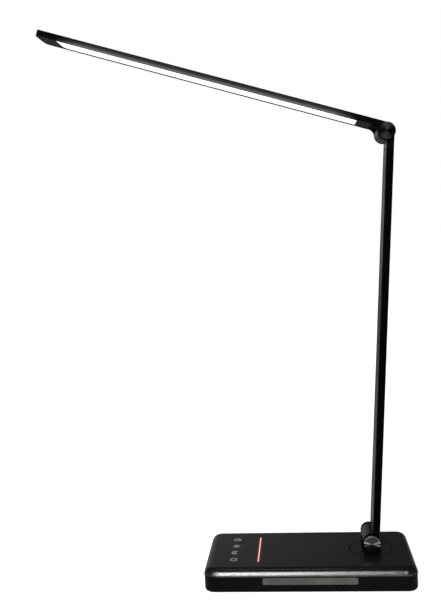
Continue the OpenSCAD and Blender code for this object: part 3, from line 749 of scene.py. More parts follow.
@dataclass(frozen=True)
class TurnedFacePaintedHighlights(Finish):
    """A face turned on a lathe: the rings are in the mesh, and the cutter left a finer spiral.

    Painted highlights: two opposite wedges of the finish's colour stand in for the light that
    the cut metal catches, and a painted dark line can part them along their middle. Between the
    wedges the colour is painted lighter above their middle line and darker below, as lit and
    shaded halves.

    Args:
        over: the colour between the wedges above their middle line, the painted lit half.
        under: the same below it, the painted shaded half.
        axis: a point on the axis, which runs along Y, in metres.
        wedge: angle of the painted highlights' middle line from level, in degrees.
        narrow: how quickly the wedges fall off to their sides.
        parting: sine of the angle that the painted dark line spans on each side of the middle.
        lower_share: painted highlights' strength under the middle line, to the left and the right.
        shoulder_painted_highlight: the share of the wedges' colour that the shoulder above the
            middle line takes, a painted highlight.
        gloss: the mean roughness.
        shoulder: radii between which the shoulder starts, in metres.
        rim: radii between which the dark rim starts.
        spiral: distance between two turns of the spiral.
    """

    over: Colour
    under: Colour
    axis: Point
    wedge: float
    narrow: float
    parting: float = 0.001
    lower_share: Span = (1.0, 1.0)
    shoulder_painted_highlight: float = 0.0
    gloss: float = 0.24
    shoulder: Span = (6.1 * MM, 6.9 * MM)
    rim: Span = (7.3 * MM, 7.75 * MM)
    spiral: float = 0.16 * MM

    def build(self, tree: Tree) -> bpy.types.Material:
        """The painted wedges follow a power of the cosine of the angle from their middle line.

        Args:
            tree: the material's empty tree.

        Returns:
            The finished material.
        """
        at = tree.place((self.axis[0], 0.0, self.axis[2]))
        radius = reach(at.x, at.z)
        spiral = (radius * (2 * math.pi / self.spiral)).sine() * 0.5 + 0.5
        stain = tree.noise(at.socket, Noise.STAIN)
        inside = 1.0 - radius.fade(*self.rim)
        turn = math.radians(self.wedge)
        cos, sin = math.cos(turn), math.sin(turn)
        least = radius.highest(0.1 * MM)
        along = (at.x * cos + at.z * sin) / least
        across = (at.z * cos - at.x * sin) / least
        # Painted highlights and shade: wedges, shoulder ring, lit upper half, dark parting line.
        above = across.fade(-0.03, 0.03)
        parted = abs(across).fade(self.parting * 0.45, self.parting)
        lower = (1.0 - above) * along.fade(-1.0, 1.0, *self.lower_share)
        wedges = abs(along) ** self.narrow * (above + lower)
        ring = radius.fade(*self.shoulder) * above * self.shoulder_painted_highlight
        bright = wedges.highest(ring) * parted * inside * (1.0 - stain * 0.25)
        between = tree.mixed(above * parted * inside, self.under, self.over)
        return tree.finish(
            Base_Color=tree.mixed(bright, between, self.colour),
            Metallic=1.0,
            Roughness=self.gloss + stain * 0.08,
            Normal=tree.relief(spiral, 0.25, 0.012 * MM),
        )


@dataclass(frozen=True)
class Lit(Finish):
    """A translucent piece that glows, brightest along its middle line.

    Args:
        core: the light's colour in the middle.
        edge: the light's colour at the sides.
        strength: the light's strength.
        middle: X of the middle line, in metres.
        half: half the piece's width, in metres.
    """

    core: Colour
    edge: Colour
    strength: float
    middle: float = 0.0
    half: float = 1.0

    def build(self, tree: Tree) -> bpy.types.Material:
        """The light fades with the distance from the middle line over half the width.

        Args:
            tree: the material's empty tree.

        Returns:
            The finished material.
        """
        at = tree.place()
        off = abs(at.x - self.middle) / self.half
        cloud = tree.noise(at.socket, Noise.CLOUD)
        return tree.finish(
            Base_Color=tree.mixed(cloud, self.colour, times(self.colour, 0.96)),
            Roughness=cloud.fade(0.2, 0.8, 0.32, 0.42),
            Emission_Color=tree.mixed(off.fade(0.1, 0.7), self.core, self.edge),
            Emission_Strength=self.strength,
        )


@dataclass(frozen=True)
class CastIron(Finish):
    """A cast weight: rough skin with small pits."""

    def build(self, tree: Tree) -> bpy.types.Material:
        """The skin shifts the colour and the roughness, and stands in relief with the pits.

        Args:
            tree: the material's empty tree.

        Returns:
            The finished material.
        """
        at = tree.place()
        skin = tree.noise(at.socket, Noise.CAST_SKIN)
        pits = tree.cells(at.socket, Cells.PITS).fade(0.05, 0.3)
        return tree.finish(
            Base_Color=tree.mixed(skin, times(self.colour, 0.6), self.colour),
            Metallic=0.6,
            Roughness=skin.fade(0.2, 0.8, 0.6, 0.8),
            Normal=tree.relief(skin * 0.6 + pits * 0.4, 0.6, 0.1 * MM),
        )


@dataclass(frozen=True)
class Treaded(Finish):
    """Soft rubber with a close diamond tread.

    Args:
        pitch: distance between two ribs in metres.
    """

    pitch: float = 1.6 * MM

    def build(self, tree: Tree) -> bpy.types.Material:
        """The tread is the larger of two waves that cross each other, sines of x + y and x - y.

        Args:
            tree: the material's empty tree.

        Returns:
            The finished material.
        """
        at = tree.place()
        turn = 2 * math.pi / self.pitch
        ribs = ((at.x + at.y) * turn).sine().highest(((at.x - at.y) * turn).sine())
        dust = tree.noise(at.socket, Noise.DUST)
        return tree.finish(
            Base_Color=tree.mixed(dust.fade(0.5, 0.8), self.colour, times(self.colour, 2.2)),
            Roughness=dust.fade(0.2, 0.8, 0.75, 0.9),
            Specular_IOR_Level=0.25,
            Normal=tree.relief(ribs * 0.5 + 0.5, 0.6, 0.2 * MM),
        )


@dataclass(frozen=True)
class CircuitBoard(Finish):
    """Solder mask, of the finish's colour, over copper tracks.

    Args:
        track: the mask's colour over a track.
        pitch: distance between two tracks in metres.
    """

    track: Colour
    pitch: float = 2.4 * MM

    def build(self, tree: Tree) -> bpy.types.Material:
        """The tracks follow the sine of x over their pitch, bent a little by a noise.

        Args:
            tree: the material's empty tree.

        Returns:
            The finished material.
        """
        at = tree.place()
        weave = tree.noise(tree.stretched(at, (1.0, 0.25, 1.0)), Noise.WEAVE)
        route = ((at.x * (2 * math.pi / self.pitch)).sine() + weave * 0.8).fade(0.55, 0.75)
        return tree.finish(
            Base_Color=tree.mixed(route, self.colour, self.track),
            Roughness=route.fade(0.0, 1.0, 0.35, 0.28),
            Normal=tree.relief(route, 0.3, 0.03 * MM),
        )


# ---------------------------------------------------------------- meshes

def make_mesh(
    name: str,
    points: np.ndarray,
    faces: np.ndarray,
    smooth: bool = True,
    triangles: Optional[np.ndarray] = None,
) -> bpy.types.Object:
    """Puts points and faces into a new object at the origin.

    Args:
        name: the object's name.
        points: points in metres, shape (n, 3).
        faces: corner indices, shape (m, 3) or (m, 4).
        smooth: whether the faces are shaded smooth.
        triangles: further faces with three corners, shape (k, 3).

    Returns:
        The object, linked to the scene.
    """
    mesh = bpy.data.meshes.new(name)
    further = [] if triangles is None else triangles.tolist()
    mesh.from_pydata(points.tolist(), [], faces.tolist() + further)
    mesh.polygons.foreach_set("use_smooth", np.full(len(mesh.polygons), smooth))
    mesh.update()
    return put(name, mesh)


def put(name: str, data: bpy.types.ID) -> bpy.types.Object:
    """Links a new object to the scene.

    Args:
        name: the object's name.
        data: its mesh, lamp or camera.

    Returns:
        The object, at the origin.
    """
    thing = bpy.data.objects.new(name, data)
    bpy.context.scene.collection.objects.link(thing)
    return thing


def ring_faces(rows: int, columns: int, closed: bool = False) -> np.ndarray:
    """Quads of a grid of points that are numbered row by row, where each row is a ring.

    Args:
        rows: number of rows.
        columns: number of points in a row.
        closed: whether the last row joins the first.

    Returns:
        Corner indices, shape (m, 4).
    """
    row = np.arange(rows if closed else rows - 1)
    r, c = np.meshgrid(row, np.arange(columns), indexing="ij")
    start, after = r * columns, (r + 1) % rows * columns
    c_next = (c + 1) % columns
    corners = [start + c, start + c_next, after + c_next, after + c]
    return np.stack(corners, axis=-1).reshape(-1, 4)


def merged(parts: Sequence[tuple[np.ndarray, np.ndarray]]) -> tuple[np.ndarray, np.ndarray]:
    """Several meshes as one.

    Args:
        parts: points and faces of each.

    Returns:
        All points, and all faces with shifted indices.
    """
    starts = np.cumsum([0] + [len(points) for points, _ in parts[:-1]])
    points = np.concatenate([points for points, _ in parts])
    faces = np.concatenate([faces + start for (_, faces), start in zip(parts, starts)])
    return points, faces


def face_outwards(piece: bpy.types.Object) -> bpy.types.Object:
    """Merges doubled points and turns every face outwards.

    Args:
        piece: a closed mesh.

    Returns:
        The same piece.
    """
    shape = bmesh.new()
    shape.from_mesh(piece.data)
    bmesh.ops.remove_doubles(shape, verts=shape.verts, dist=1e-7)
    bmesh.ops.recalc_face_normals(shape, faces=shape.faces)
    shape.to_mesh(piece.data)
    shape.free()
    return piece


def sweep(
    path: np.ndarray, width: float, height: float, closed: bool
) -> tuple[np.ndarray, np.ndarray]:
    """A flat bar carried along a line in the XY plane.

    At each point the bar's rectangle stands across the line: the point plus or minus half the width
    along the line's normal, at the line's height and at that height plus the bar's height. The
    line's direction at a point is the mean of the directions to it and from it.

    Args:
        path: points of the line, shape (n, 3).
        width: the bar's width.
        height: the bar's height.
        closed: whether the line's end joins its start.

    Returns:
        Points and quads.
    """
    ahead = np.roll(path, -1, axis=0) - path
    behind = path - np.roll(path, 1, axis=0)
    if not closed:
        ahead[-1], behind[0] = behind[-1], ahead[0]
    along = unit(unit(ahead[:, :2]) + unit(behind[:, :2]))
    across = np.stack([-along[:, 1], along[:, 0], np.zeros(len(path))], axis=1) * width / 2
    up = np.array([0.0, 0.0, height])
    ring = np.stack([path - across, path + across, path + across + up, path - across + up], axis=1)
    faces = ring_faces(len(path), 4, closed)
    if not closed:
        last = 4 * (len(path) - 1)
        faces = np.concatenate([faces, [[3, 2, 1, 0], [last, last + 1, last + 2, last + 3]]])
    return ring.reshape(-1, 3), faces


def unit(vectors: np.ndarray) -> np.ndarray:
    """Each vector over its length."""
    return vectors / np.linalg.norm(vectors, axis=1, keepdims=True)


def arc(centre: Sequence[float], radius: float, ends: Span, count: int) -> np.ndarray:
    """Points on an arc in the XY plane: the centre plus the radius times (cos, sin) of the angle.

    Args:
        centre: the centre, three numbers.
        radius: the radius.
        ends: the first and the last angle in degrees.
        count: number of points.

    Returns:
        The points, shape (count, 3).
    """
    angle = np.radians(np.linspace(*ends, count))
    flat = np.stack([np.cos(angle), np.sin(angle), np.zeros(count)], axis=1)
    return np.asarray(centre, float) + radius * flat


def dress(piece: bpy.types.Object, material: bpy.types.Material) -> None:
    """Gives an object one material in all its slots.

    Args:
        piece: the object.
        material: the material.
    """
    if not piece.material_slots:
        piece.data.materials.append(material)
    for slot in piece.material_slots:
        slot.material = material


# ---------------------------------------------------------------- sub-assemblies

class Assembly:
    """What the sub-assemblies share: their body, how pieces are seated and how they are dressed."""

    body: ClassVar[Body]

    def build(self) -> None:
        """Adds the pieces that the CAD nodes don't show in full. Here there are none."""

    def finishes(self) -> Mapping[str, Finish]:
        """The finish of each CAD node, by the node's name."""
        raise NotImplementedError

    def dress(self) -> None:
        """Gives the CAD nodes their finishes."""
        for node, finish in self.finishes().items():
            dress(frame["nodes"][node], finish.material())
            LOG.info("%s: %s wears %s", self.body.value, node, finish.name)

    def add(self, piece: bpy.types.Object, finish: Finish, slot: str, *nodes: str) -> None:
        """Seats a new piece on the body.

        Args:
            piece: the piece.
            finish: what it wears.
            slot: the record's material slot that it stands for; not used.
            nodes: the CAD nodes that it replaces.
        """
        dress(piece, finish.material())
        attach(piece, self.body.value)
        if nodes:
            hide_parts(*nodes)
        LOG.info("%s: %s added, %d faces", self.body.value, piece.name, len(piece.data.polygons))

    def add_caps(self, finish: Finish, near: str, far: str) -> None:
        """Seats turned caps on both ends of a hinge.

        Args:
            finish: what they wear.
            near: the CAD node of the cap on the drawer's side.
            far: the CAD node of the other one.
        """
        for node, side in ((near, Side.NEAR), (far, Side.FAR)):
            self.add(EndCap(node, side).build(), finish, "cap_machined", node)


@dataclass
class LampBase(Assembly):
    """The slab base with its controls.

    Args:
        mark_size: height of a control symbol in metres.
        mark_line: width of its lines.
        mark_height: height of the print above the cover.
        mark_inset: distance from the base's left end to the symbols.
        mark_pitch: distance between two symbols.
        slider_half: half the width of the lit slider.
    """

    mark_size: float = 6.4 * MM
    mark_line: float = 0.62 * MM
    mark_height: float = 0.02 * MM
    mark_inset: float = 26.7 * MM
    mark_pitch: float = 16.6 * MM
    slider_half: float = 1.0 * MM
    body: ClassVar[Body] = Body.BASE

    def build(self) -> None:
        """Adds the printed symbols to the cover."""
        low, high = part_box("base_top_cover")
        # Painted glow: the printed symbols are given an emission, though print is no lamp.
        ink_painted_glow = Lit("symbol_print_painted_glow", (0.55, 0.55, 0.53), (0.3, 0.3, 0.29), (0.3, 0.3, 0.29), 0.6)
        for index, symbol in enumerate(Symbol):
            row = (index - (len(Symbol) - 1) / 2) * self.mark_pitch
            centre = np.array([low.x + self.mark_inset, row, high.z])
            points, faces = merged([
                sweep(path + centre, self.mark_line, self.mark_height, closed)
                for path, closed in self.symbol_lines(symbol)])
            piece = make_mesh(f"mark_{symbol.value}", points, faces, smooth=False)
            self.add(face_outwards(piece), ink_painted_glow, "cover_plastic")

    def symbol_lines(self, symbol: Symbol) -> list[tuple[np.ndarray, bool]]:
        """The lines of a symbol about the origin, with its top towards +X.

        Args:
            symbol: which symbol.

        Returns:
            Each line's points and whether it closes on itself.
        """
        r = self.mark_size / 2
        centre = (0.0, 0.0, 0.0)

        def line(x0: float, y0: float, x1: float, y1: float) -> tuple[np.ndarray, bool]:
            """A straight line between two points, in symbol radii."""
            return np.array([[x0 * r, y0 * r, 0.0], [x1 * r, y1 * r, 0.0]]), False

        def ray(angle: float) -> tuple[np.ndarray, bool]:
            """A short line that points away from the middle."""
            cos, sin = math.cos(angle), math.sin(angle)
            return line(0.72 * cos, 0.72 * sin, 1.1 * cos, 1.1 * sin)

        if symbol is Symbol.POWER:
            return [(arc(centre, r, (38, 322), 40), False), line(0.25, 0, 1.1, 0)]
        if symbol is Symbol.TONE:
            rays = [ray(angle) for angle in np.radians(np.arange(0, 360, 45))]
            return [(arc(centre, 0.42 * r, (0, 345), 24), True), *rays]
        if symbol is Symbol.TIMER:
            hands = [line(0, 0, 0.6, 0), line(0, -0.04, 0, 0.45)]
            return [(arc(centre, r, (0, 350), 36), True), *hands]
        outer = arc(centre, r, (60, 300), 30)
        inner = arc((0.55 * r, 0.0, 0.0), 0.87 * r, (270, 90), 24)
        return [(np.concatenate([outer, inner[1:-1]]), True)]

    def finishes(self) -> Mapping[str, Finish]:
        """The finish of each of the base's nodes.

        Returns:
            The finishes by the nodes' names.
        """
        slider_x = middle("slider_light_guide").x
        steel = Metal("plated_steel", PLATED_STEEL)
        board = CircuitBoard("circuit_board", (0.015, 0.1, 0.04), (0.05, 0.22, 0.08))
        return {
            # Painted shade in the seam and on the lowest edge; painted glow beside the slider.
            "base_top_cover": SparkleBlack("cover_sparkle", LACQUER, beside_slider=True),
            "base_lower_housing": Moulded("housing_black", (0.0019, 0.0019, 0.0014), 0.42, 0.05),
            "weight_plate": CastIron("cast_weight", (0.22, 0.22, 0.23)),
            "base_pad": Treaded("pad_rubber", grey(0.02)),
            "housing_screws": steel,
            "touch_board": board,
            "touch_springs": Metal("spring_brass", (0.75, 0.55, 0.25), 0.25),
            "slider_light_guide": Lit("slider_light", (0.2, 0.02, 0.02), (0.9, 0.66, 0.68),
                                      (0.08, 0.001, 0.004), 1.15, slider_x, self.slider_half),
            "slider_chips": Moulded("light_chip", CHIP_YELLOW, 0.3),
            "control_board": board,
            "dc_inlet": Moulded("inlet_black", grey(0.012), 0.3),
            "spindle_bush": Moulded("bush_natural", (0.7, 0.68, 0.62), 0.4),
        }


@dataclass
class Drawer(Assembly):
    """The slim drawer, whose CAD pieces have their full shape."""

    body: ClassVar[Body] = Body.DRAWER

    def finishes(self) -> Mapping[str, Finish]:
        """The finish of each of the drawer's nodes.

        Returns:
            The finishes by the nodes' names.
        """
        return {
            "drawer_tray": Moulded("tray_black", grey(0.012), 0.5),
            "drawer_front": Moulded("front_grey", (0.068, 0.068, 0.061), 0.42, 0.25),
        }


@dataclass
class EndCap:
    """A turned end cap, made as a surface of revolution about the hinge axis.

    Args:
        node: the CAD node that it replaces.
        side: the end of the hinge that it closes.
        ring_pitch: distance between two turned rings.
        ring_depth: half the height of the rings.
        ring_steps: points across a ring.
        bevel: width of the bevelled rim.
        dome: rise of the face's shallow cone.
        spigot: radius of the spigot behind the cap.
        spigot_length: its length.
        middle: radius within which the face and the seat close to a point.
        segments: points around.
    """

    node: str
    side: Side
    ring_pitch: float = 0.3 * MM
    ring_depth: float = 0.004 * MM
    ring_steps: int = 6
    bevel: float = 0.35 * MM
    dome: float = 0.4 * MM
    spigot: float = 5.0 * MM
    spigot_length: float = 1.0 * MM
    middle: float = 0.05 * MM
    segments: int = 112

    def build(self) -> bpy.types.Object:
        """Builds the cap.

        A point at angle a and radius r lies at the axis plus r times (cos a, sin a). The face falls
        evenly from the middle to the rim, less a fine ripple that follows the cosine of r over the
        pitch. The rim falls off at 45 degrees, and the side runs straight back to the spigot.

        Returns:
            The cap.
        """
        low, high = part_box(self.node)
        centre, radius = middle(self.node), half_size(self.node).x
        face, seat = (low.y, high.y) if self.side is Side.NEAR else (high.y, low.y)
        inward = math.copysign(1.0, seat - face)
        flat = radius - self.bevel
        r = np.linspace(self.middle, flat, self.ring_steps * int(flat / self.ring_pitch))
        ripple = 1 - np.cos(2 * math.pi * (flat - r) / self.ring_pitch)
        dip = self.dome * r / flat + self.ring_depth * ripple
        depth = abs(seat - face)
        back = depth - self.spigot_length
        r = np.concatenate([r, [radius, radius, self.spigot, self.spigot, self.middle]])
        dip = np.concatenate([dip, [self.dome + self.bevel, back, back, depth, depth]])
        angle = np.linspace(0, 2 * math.pi, self.segments, endpoint=False)
        x = centre.x + r[:, None] * np.cos(angle)[None, :]
        z = centre.z + r[:, None] * np.sin(angle)[None, :]
        y = np.broadcast_to((face + inward * dip)[:, None], x.shape)
        points = np.stack([x, y, z], axis=-1).reshape(-1, 3)
        middles = np.array([[centre.x, face + inward * dip[0], centre.z],
                            [centre.x, seat, centre.z]])
        piece = make_mesh(
            f"{self.node}_turned", np.concatenate([points, middles]),
            ring_faces(len(r), self.segments), triangles=self.fans(len(r)))
        return face_outwards(piece)

    def fans(self, rows: int) -> np.ndarray:
        """Triangles that close the two ends of the surface.

        Args:
            rows: number of rings. The face's middle point and the seat's follow their points.

        Returns:
            The triangles, shape (k, 3).
        """
        here = np.arange(self.segments)
        after = (here + 1) % self.segments
        last, middle = (rows - 1) * self.segments, rows * self.segments
        front = np.stack([np.full(self.segments, middle), here, after], axis=1)
        back = np.stack([np.full(self.segments, middle + 1), last + after, last + here], axis=1)
        return np.concatenate([front, back])


@dataclass
class Swivel(Assembly):
    """The swivel disc with the yoke and the lower hinge's pin and caps."""

    body: ClassVar[Body] = Body.SWIVEL

    def build(self) -> None:
        """Adds the turned caps."""
        # Painted highlights left and right, split by a dark line; painted lit top and shaded
        # bottom.
        metal = TurnedFacePaintedHighlights(
            "lower_cap_painted_highlights", (0.78, 0.78, 0.74), over=(0.038, 0.038, 0.034),
            under=(0.01, 0.01, 0.009), axis=tuple(middle("lower_cap_near")), wedge=0.0,
            narrow=24.0, parting=0.15, lower_share=(0.22, 0.95), shoulder_painted_highlight=0.13)
        self.add_caps(metal, "lower_cap_near", "lower_cap_far")

    def finishes(self) -> Mapping[str, Finish]:
        """The finish of each of the swivel's nodes.

        Returns:
            The finishes by the nodes' names.
        """
        steel = Metal("turned_steel", PLATED_STEEL, 0.28)
        return {
            # The disc's rim takes the painted shade of the seam.
            "swivel_disc": SparkleBlack("disc_sparkle", LACQUER),
            "hinge_yoke": Anodised("yoke_black", grey(0.0016), gloss=0.4, side=0.0),
            "swivel_spindle": steel,
            "spindle_washer": steel,
            "spindle_nut": steel,
            "yoke_screws": steel,
            "lower_hinge_pin": steel,
        }


@dataclass
class Arm(Assembly):
    """The flat arm, whose CAD pieces have their full shape.

    Args:
        groove: radius of the knuckles' turned grooves, under which they are matt.
    """

    groove: float = 7.9 * MM
    body: ClassVar[Body] = Body.ARM

    def finishes(self) -> Mapping[str, Finish]:
        """The finish of each of the arm's nodes.

        Returns:
            The finishes by the nodes' names.
        """
        start, end = joint_place("arm_tilt"), joint_place("head_tilt")
        lean = math.atan2(end[0] - start[0], end[2] - start[2])
        along: dict[str, object] = {
            "centre": tuple(middle("arm_profile")),
            "lean": -lean,
            "side": half_size("arm_profile").y,
        }

        def barrel(name: str, joint: Point, sheen: float) -> Finish:
            """A knuckle's finish, with matt floors in its turned grooves."""
            return Anodised(name, grey(0.0015), gloss=0.36, sheen=sheen, coat=0.12,
                            groove=(joint[0], joint[2], self.groove), **along)

        nylon = Moulded("washer_nylon", (0.62, 0.6, 0.52), 0.4)
        return {
            "arm_profile": Anodised("arm_anodised", grey(0.0007), gloss=0.4, sheen=0.15, **along),
            "arm_wire_cover": Moulded("strip_black", grey(0.003), 0.4, 0.16),
            "arm_wires": Moulded("wire_red", (0.2, 0.015, 0.015), 0.45),
            "arm_lower_knuckle": barrel("lower_barrel_black", start, 0.16),
            "arm_upper_knuckle": barrel("upper_barrel_black", end, 0.1),
            "arm_screws": Metal("arm_screw_steel", SCREW_STEEL),
            "lower_washers": nylon,
            "upper_washers": nylon,
        }


@dataclass
class Head(Assembly):
    """The thin head with the lit diffuser.

    Args:
        rise: the head's rise from level at rest, in degrees.
        under: height of the head's lower face over the hinge axis, square to the head, in metres.
        over: the same for its upper face.
        recess: depth of the diffuser's face in its frame.
        panel_thick: thickness of the diffuser.
        window_gap: from the diffuser's end to the frame's window, at the hinge.
        window_length: length of the window.
        window_half: half its width.
        window_corner: radius of its corners at the tip.
        steps: points along the diffuser's straight part.
        corner_steps: points around each of its corners.
        columns: points across its width.
    """

    rise: float = 18.0
    under: float = 1.9 * MM
    over: float = 7.6 * MM
    recess: float = 0.9 * MM
    panel_thick: float = 1.1 * MM
    window_gap: float = 0.4 * MM
    window_length: float = 285.5 * MM
    window_half: float = 16.8 * MM
    window_corner: float = 5.5 * MM
    steps: int = 40
    corner_steps: int = 9
    columns: int = 9
    body: ClassVar[Body] = Body.HEAD

    def diffuser_ends(self) -> Span:
        """The source's diffuser along the head, from the hinge axis.

        Returns:
            Its near and its far end in metres: their distances along X over the cosine of the rise.
        """
        low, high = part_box("diffuser")
        pivot = joint_place("head_tilt")
        along = math.cos(math.radians(self.rise))
        return (pivot[0] - high.x) / along, (pivot[0] - low.x) / along

    def panel(self) -> bpy.types.Object:
        """The diffuser, set back into its frame.

        It is a flat section carried along the head. At a distance s from the hinge axis its half
        width is the window's, and within a corner radius r of the tip it is the window's less r
        plus the root of r squared less the square of how far s lies past the corner's middle.

        Returns:
            The diffuser.
        """
        cos, sin = math.cos(math.radians(self.rise)), math.sin(math.radians(self.rise))
        pivot = joint_place("head_tilt")
        corner = self.window_corner
        start = self.diffuser_ends()[0] + self.window_gap
        middle = start + self.window_length - corner
        turned = np.radians(np.linspace(0, 90, self.corner_steps))
        straight = np.linspace(start, middle, self.steps)[:-1]
        s = np.concatenate([straight, middle + corner * np.sin(turned)])
        past = np.maximum(s - middle, 0.0)
        half = self.window_half - corner + np.sqrt(np.maximum(corner ** 2 - past ** 2, 0.0))
        across = np.linspace(-1.0, 1.0, self.columns)
        face = self.under + self.recess
        level = np.repeat([face, face + self.panel_thick], self.columns)
        x = pivot[0] - s[:, None] * cos + level[None, :] * sin
        z = pivot[2] + s[:, None] * sin + level[None, :] * cos
        y = half[:, None] * np.concatenate([across, across[::-1]])[None, :]
        points = np.stack([x, y, z], axis=-1).reshape(-1, 3)
        ring = 2 * self.columns
        left = np.arange(self.columns - 1)
        first = np.stack([left, left + 1, ring - 2 - left, ring - 1 - left], axis=1)
        faces = np.concatenate([
            ring_faces(len(s), ring), first, first + ring * (len(s) - 1)])
        return face_outwards(make_mesh("diffuser_panel", points, faces, smooth=False))

    def build(self) -> None:
        """Adds the diffuser and the turned caps."""
        light = (1.0, 1.0, 0.98)
        opal = Lit("diffuser_opal", (0.9, 0.9, 0.88), light, light, 1.0)
        self.add(self.panel(), opal, "diffuser_opal", "diffuser")
        # Painted highlights: broad wedges above and below on a near black face.
        metal = TurnedFacePaintedHighlights(
            "upper_cap_painted_highlights", grey(0.018), over=grey(0.001), under=grey(0.001),
            axis=tuple(middle("upper_cap_near")), wedge=80.0, narrow=3.5, gloss=0.34)
        self.add_caps(metal, "upper_cap_near", "upper_cap_far")

    def finishes(self) -> Mapping[str, Finish]:
        """The finish of each of the head's nodes.

        Returns:
            The finishes by the nodes' names.
        """
        return {
            "head_hinge_block": Anodised("block_black", grey(0.0014), side=0.0),
            # The shell's narrow sides carry a painted glow beside the diffuser.
            "head_shell": Anodised(
                "head_anodised", grey(0.0014), joint_place("head_tilt"),
                math.radians(90.0 - self.rise), 0.4, side=half_size("head_shell").y,
                spill=(0.17, 0.17, 0.174), spill_level=(self.under, self.over),
                spill_length=self.diffuser_ends()),
            "head_bezel": Moulded("bezel_black", grey(0.002), 0.45, 0.035),
            "light_guide_plate": Moulded("guide_clear", (0.8, 0.86, 0.88), 0.15),
            "reflector_sheet": Moulded("reflector_white", grey(0.9), 0.5),
            "led_board": CircuitBoard("strip_board", (0.8, 0.8, 0.77), (0.7, 0.66, 0.5)),
            "led_chips": Moulded("head_light_chip", CHIP_YELLOW, 0.3),
            "head_screws": Metal("head_screw_steel", SCREW_STEEL),
            "upper_hinge_pin": Metal("pin_steel", PLATED_STEEL, 0.28),
        }


# ---------------------------------------------------------------- studio

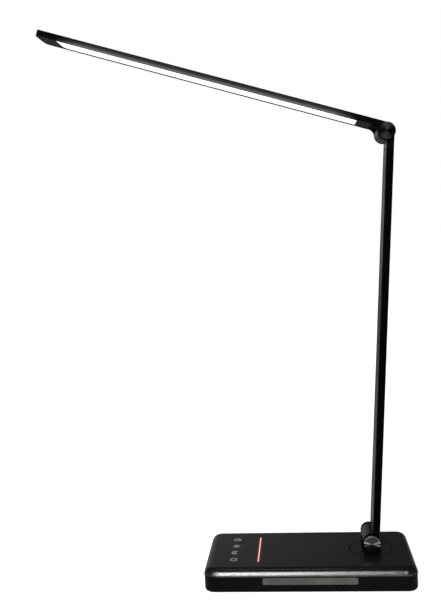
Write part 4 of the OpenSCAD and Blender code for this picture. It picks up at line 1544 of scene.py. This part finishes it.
@dataclass
class Studio:
    """The floor, the light and the camera.

    What changes over the floor and the world is given as a ramp. The world's ramps run over the
    direction's X, Y and Z.

    Args:
        lens_pixels: the camera's focal length in pixels of the photograph's frame.
        frame_height: height of that frame in pixels.
        sensor: height of the camera's sensor in millimetres.
        camera_place: where the camera stands, in metres.
        yaw: turn to the left, in degrees.
        pitch: downward tilt, in degrees.
        roll: turn about the view axis, in degrees.
        floor_half: half the floor's side in metres.
        floor_lift: white that the camera sees on the floor, by the distance from the lamp.
        floor_mirrored: the share of it that mirrors show, by Y.
        room_across: strength of the room's light, by X.
        room_depth: share of it, by Y.
        room_height: share of it, by Z.
        backdrop_depth: share of the white backdrop behind the lamp, by Y.
        backdrop_height: share of it, by Z.
        backdrop_mirrored: the share of it that mirrors show, by X.
        box_place: where the soft box hangs, in front and to the left, high behind the camera.
        box_size: its width and its height in metres.
        box_watts: its power.
        box_aim: the point that it faces.
    """

    lens_pixels: float = 818.0
    frame_height: float = 600.0
    sensor: float = 36.0
    camera_place: Point = (-0.0012, -0.7606, 0.3169)
    yaw: float = 5.427
    pitch: float = 4.144
    roll: float = 2.589
    floor_half: float = 9.0
    floor_lift: Ramp = (0.25, 1.4, 0.74, 1.0)
    floor_mirrored: Ramp = (0.03, 0.12, 0.4, 0.08)
    room_across: Ramp = (-0.25, 0.20, 0.22, 0.05)
    room_depth: Ramp = (-0.2, 0.5, 0.3, 1.0)
    room_height: Ramp = (0.38, 0.62, 1.0, 0.27)
    backdrop_depth: Ramp = (0.80, 0.89, 0.0, 1.0)
    backdrop_height: Ramp = (0.282, 0.315, 1.0, 0.0)
    backdrop_mirrored: Ramp = (-0.15, 0.12, 0.5, 0.05)
    box_place: Point = (-0.6, -3.62, 1.84)
    box_size: Span = (1.30, 3.1)
    box_watts: float = 190.0
    box_aim: Point = (0.0, 0.0, 0.15)

    def build(self) -> None:
        """Builds the whole studio."""
        self.build_camera()
        self.build_floor()
        self.build_world()
        self.build_light()
        bpy.context.scene.view_settings.view_transform = "Standard"

    def build_camera(self) -> None:
        """Sets the camera at the photograph's place and turn."""
        data = bpy.data.cameras.new("camera")
        data.sensor_fit = "VERTICAL"
        data.sensor_height = self.sensor
        data.lens = self.lens_pixels / self.frame_height * self.sensor
        data.clip_start = 0.02
        data.clip_end = 60.0
        camera = put("camera", data)
        place = Matrix.Translation(self.camera_place)
        for angle, axis in ((self.yaw, "Z"), (-self.pitch, "X"), (self.roll, "Y"), (90.0, "X")):
            place = place @ Matrix.Rotation(math.radians(angle), 4, axis)
        camera.matrix_world = place
        bpy.context.scene.camera = camera

    def build_floor(self) -> None:
        """Lays a wide pale floor that shows white to the camera and keeps the lamp's shadow."""
        h = self.floor_half
        corners = np.array([[-h, -h, 0], [h, -h, 0], [h, h, 0], [-h, h, 0]], float)
        floor = make_mesh("floor", corners, np.array([[0, 1, 2, 3]]), smooth=False)
        tree = Tree("floor_pale")
        at = tree.place()
        mirrored = tree.ray("Is Glossy Ray") * at.y.fade(*self.floor_mirrored)
        seen = tree.ray("Is Camera Ray").highest(tree.ray("Is Transmission Ray")).highest(mirrored)
        lit = seen * reach(at.x, at.y).fade(*self.floor_lift)
        plain = tree.node("ShaderNodeBsdfDiffuse", {}, {"Color": grey(0.9)})
        lift = tree.node("ShaderNodeEmission", {}, {"Color": grey(1.0), "Strength": lit})
        both = tree.node("ShaderNodeAddShader", {}, {0: plain.outputs[0], 1: lift.outputs[0]})
        dress(floor, tree.close(both.outputs[0]))

    def build_world(self) -> None:
        """A dim room with a white backdrop behind the lamp, which reaches past the camera's frame.

        The backdrop's share is the product of its ramps over Y and Z. The room is lighter to the
        left, and so is what mirrors show of the backdrop. The camera sees white wherever it looks
        past the floor.
        """
        world = bpy.data.worlds.new("studio")
        bpy.context.scene.world = world
        world.use_nodes = True
        tree = Tree.over(world.node_tree)
        at = tree.split(tree.node("ShaderNodeTexCoord").outputs["Generated"])
        seen = tree.ray("Is Camera Ray").highest(tree.ray("Is Transmission Ray"))
        shown = 1.0 - tree.ray("Is Glossy Ray") * (1.0 - at.x.fade(*self.backdrop_mirrored))
        backdrop = at.y.fade(*self.backdrop_depth) * at.z.fade(*self.backdrop_height) * shown
        room = at.y.fade(*self.room_depth) * at.z.fade(*self.room_height)
        room = room * at.x.fade(*self.room_across)
        strength = seen.highest(room + (1.0 - room) * backdrop)
        values = {"Color": grey(1.0), "Strength": strength}
        shader = tree.node("ShaderNodeBackground", {}, values)
        tree.node("ShaderNodeOutputWorld", {}, {"Surface": shader.outputs[0]})

    def build_light(self) -> None:
        """Hangs one large soft box that faces the object."""
        data = bpy.data.lights.new("front_soft_box", "AREA")
        data.shape = "RECTANGLE"
        data.size, data.size_y = self.box_size
        data.energy = self.box_watts
        aim = Vector(self.box_aim) - Vector(self.box_place)
        turn = aim.to_track_quat("-Z", "Y").to_matrix().to_4x4()
        put("front_soft_box", data).matrix_world = Matrix.Translation(self.box_place) @ turn


def main() -> None:
    """Builds the lamp's looks and the studio around it."""
    logging.basicConfig(level=logging.INFO, format="%(name)s %(message)s")
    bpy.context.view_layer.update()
    Studio().build()
    for assembly in (LampBase(), Drawer(), Swivel(), Arm(), Head()):
        assembly.build()
        assembly.dress()


if __name__ == "__main__":
    main()
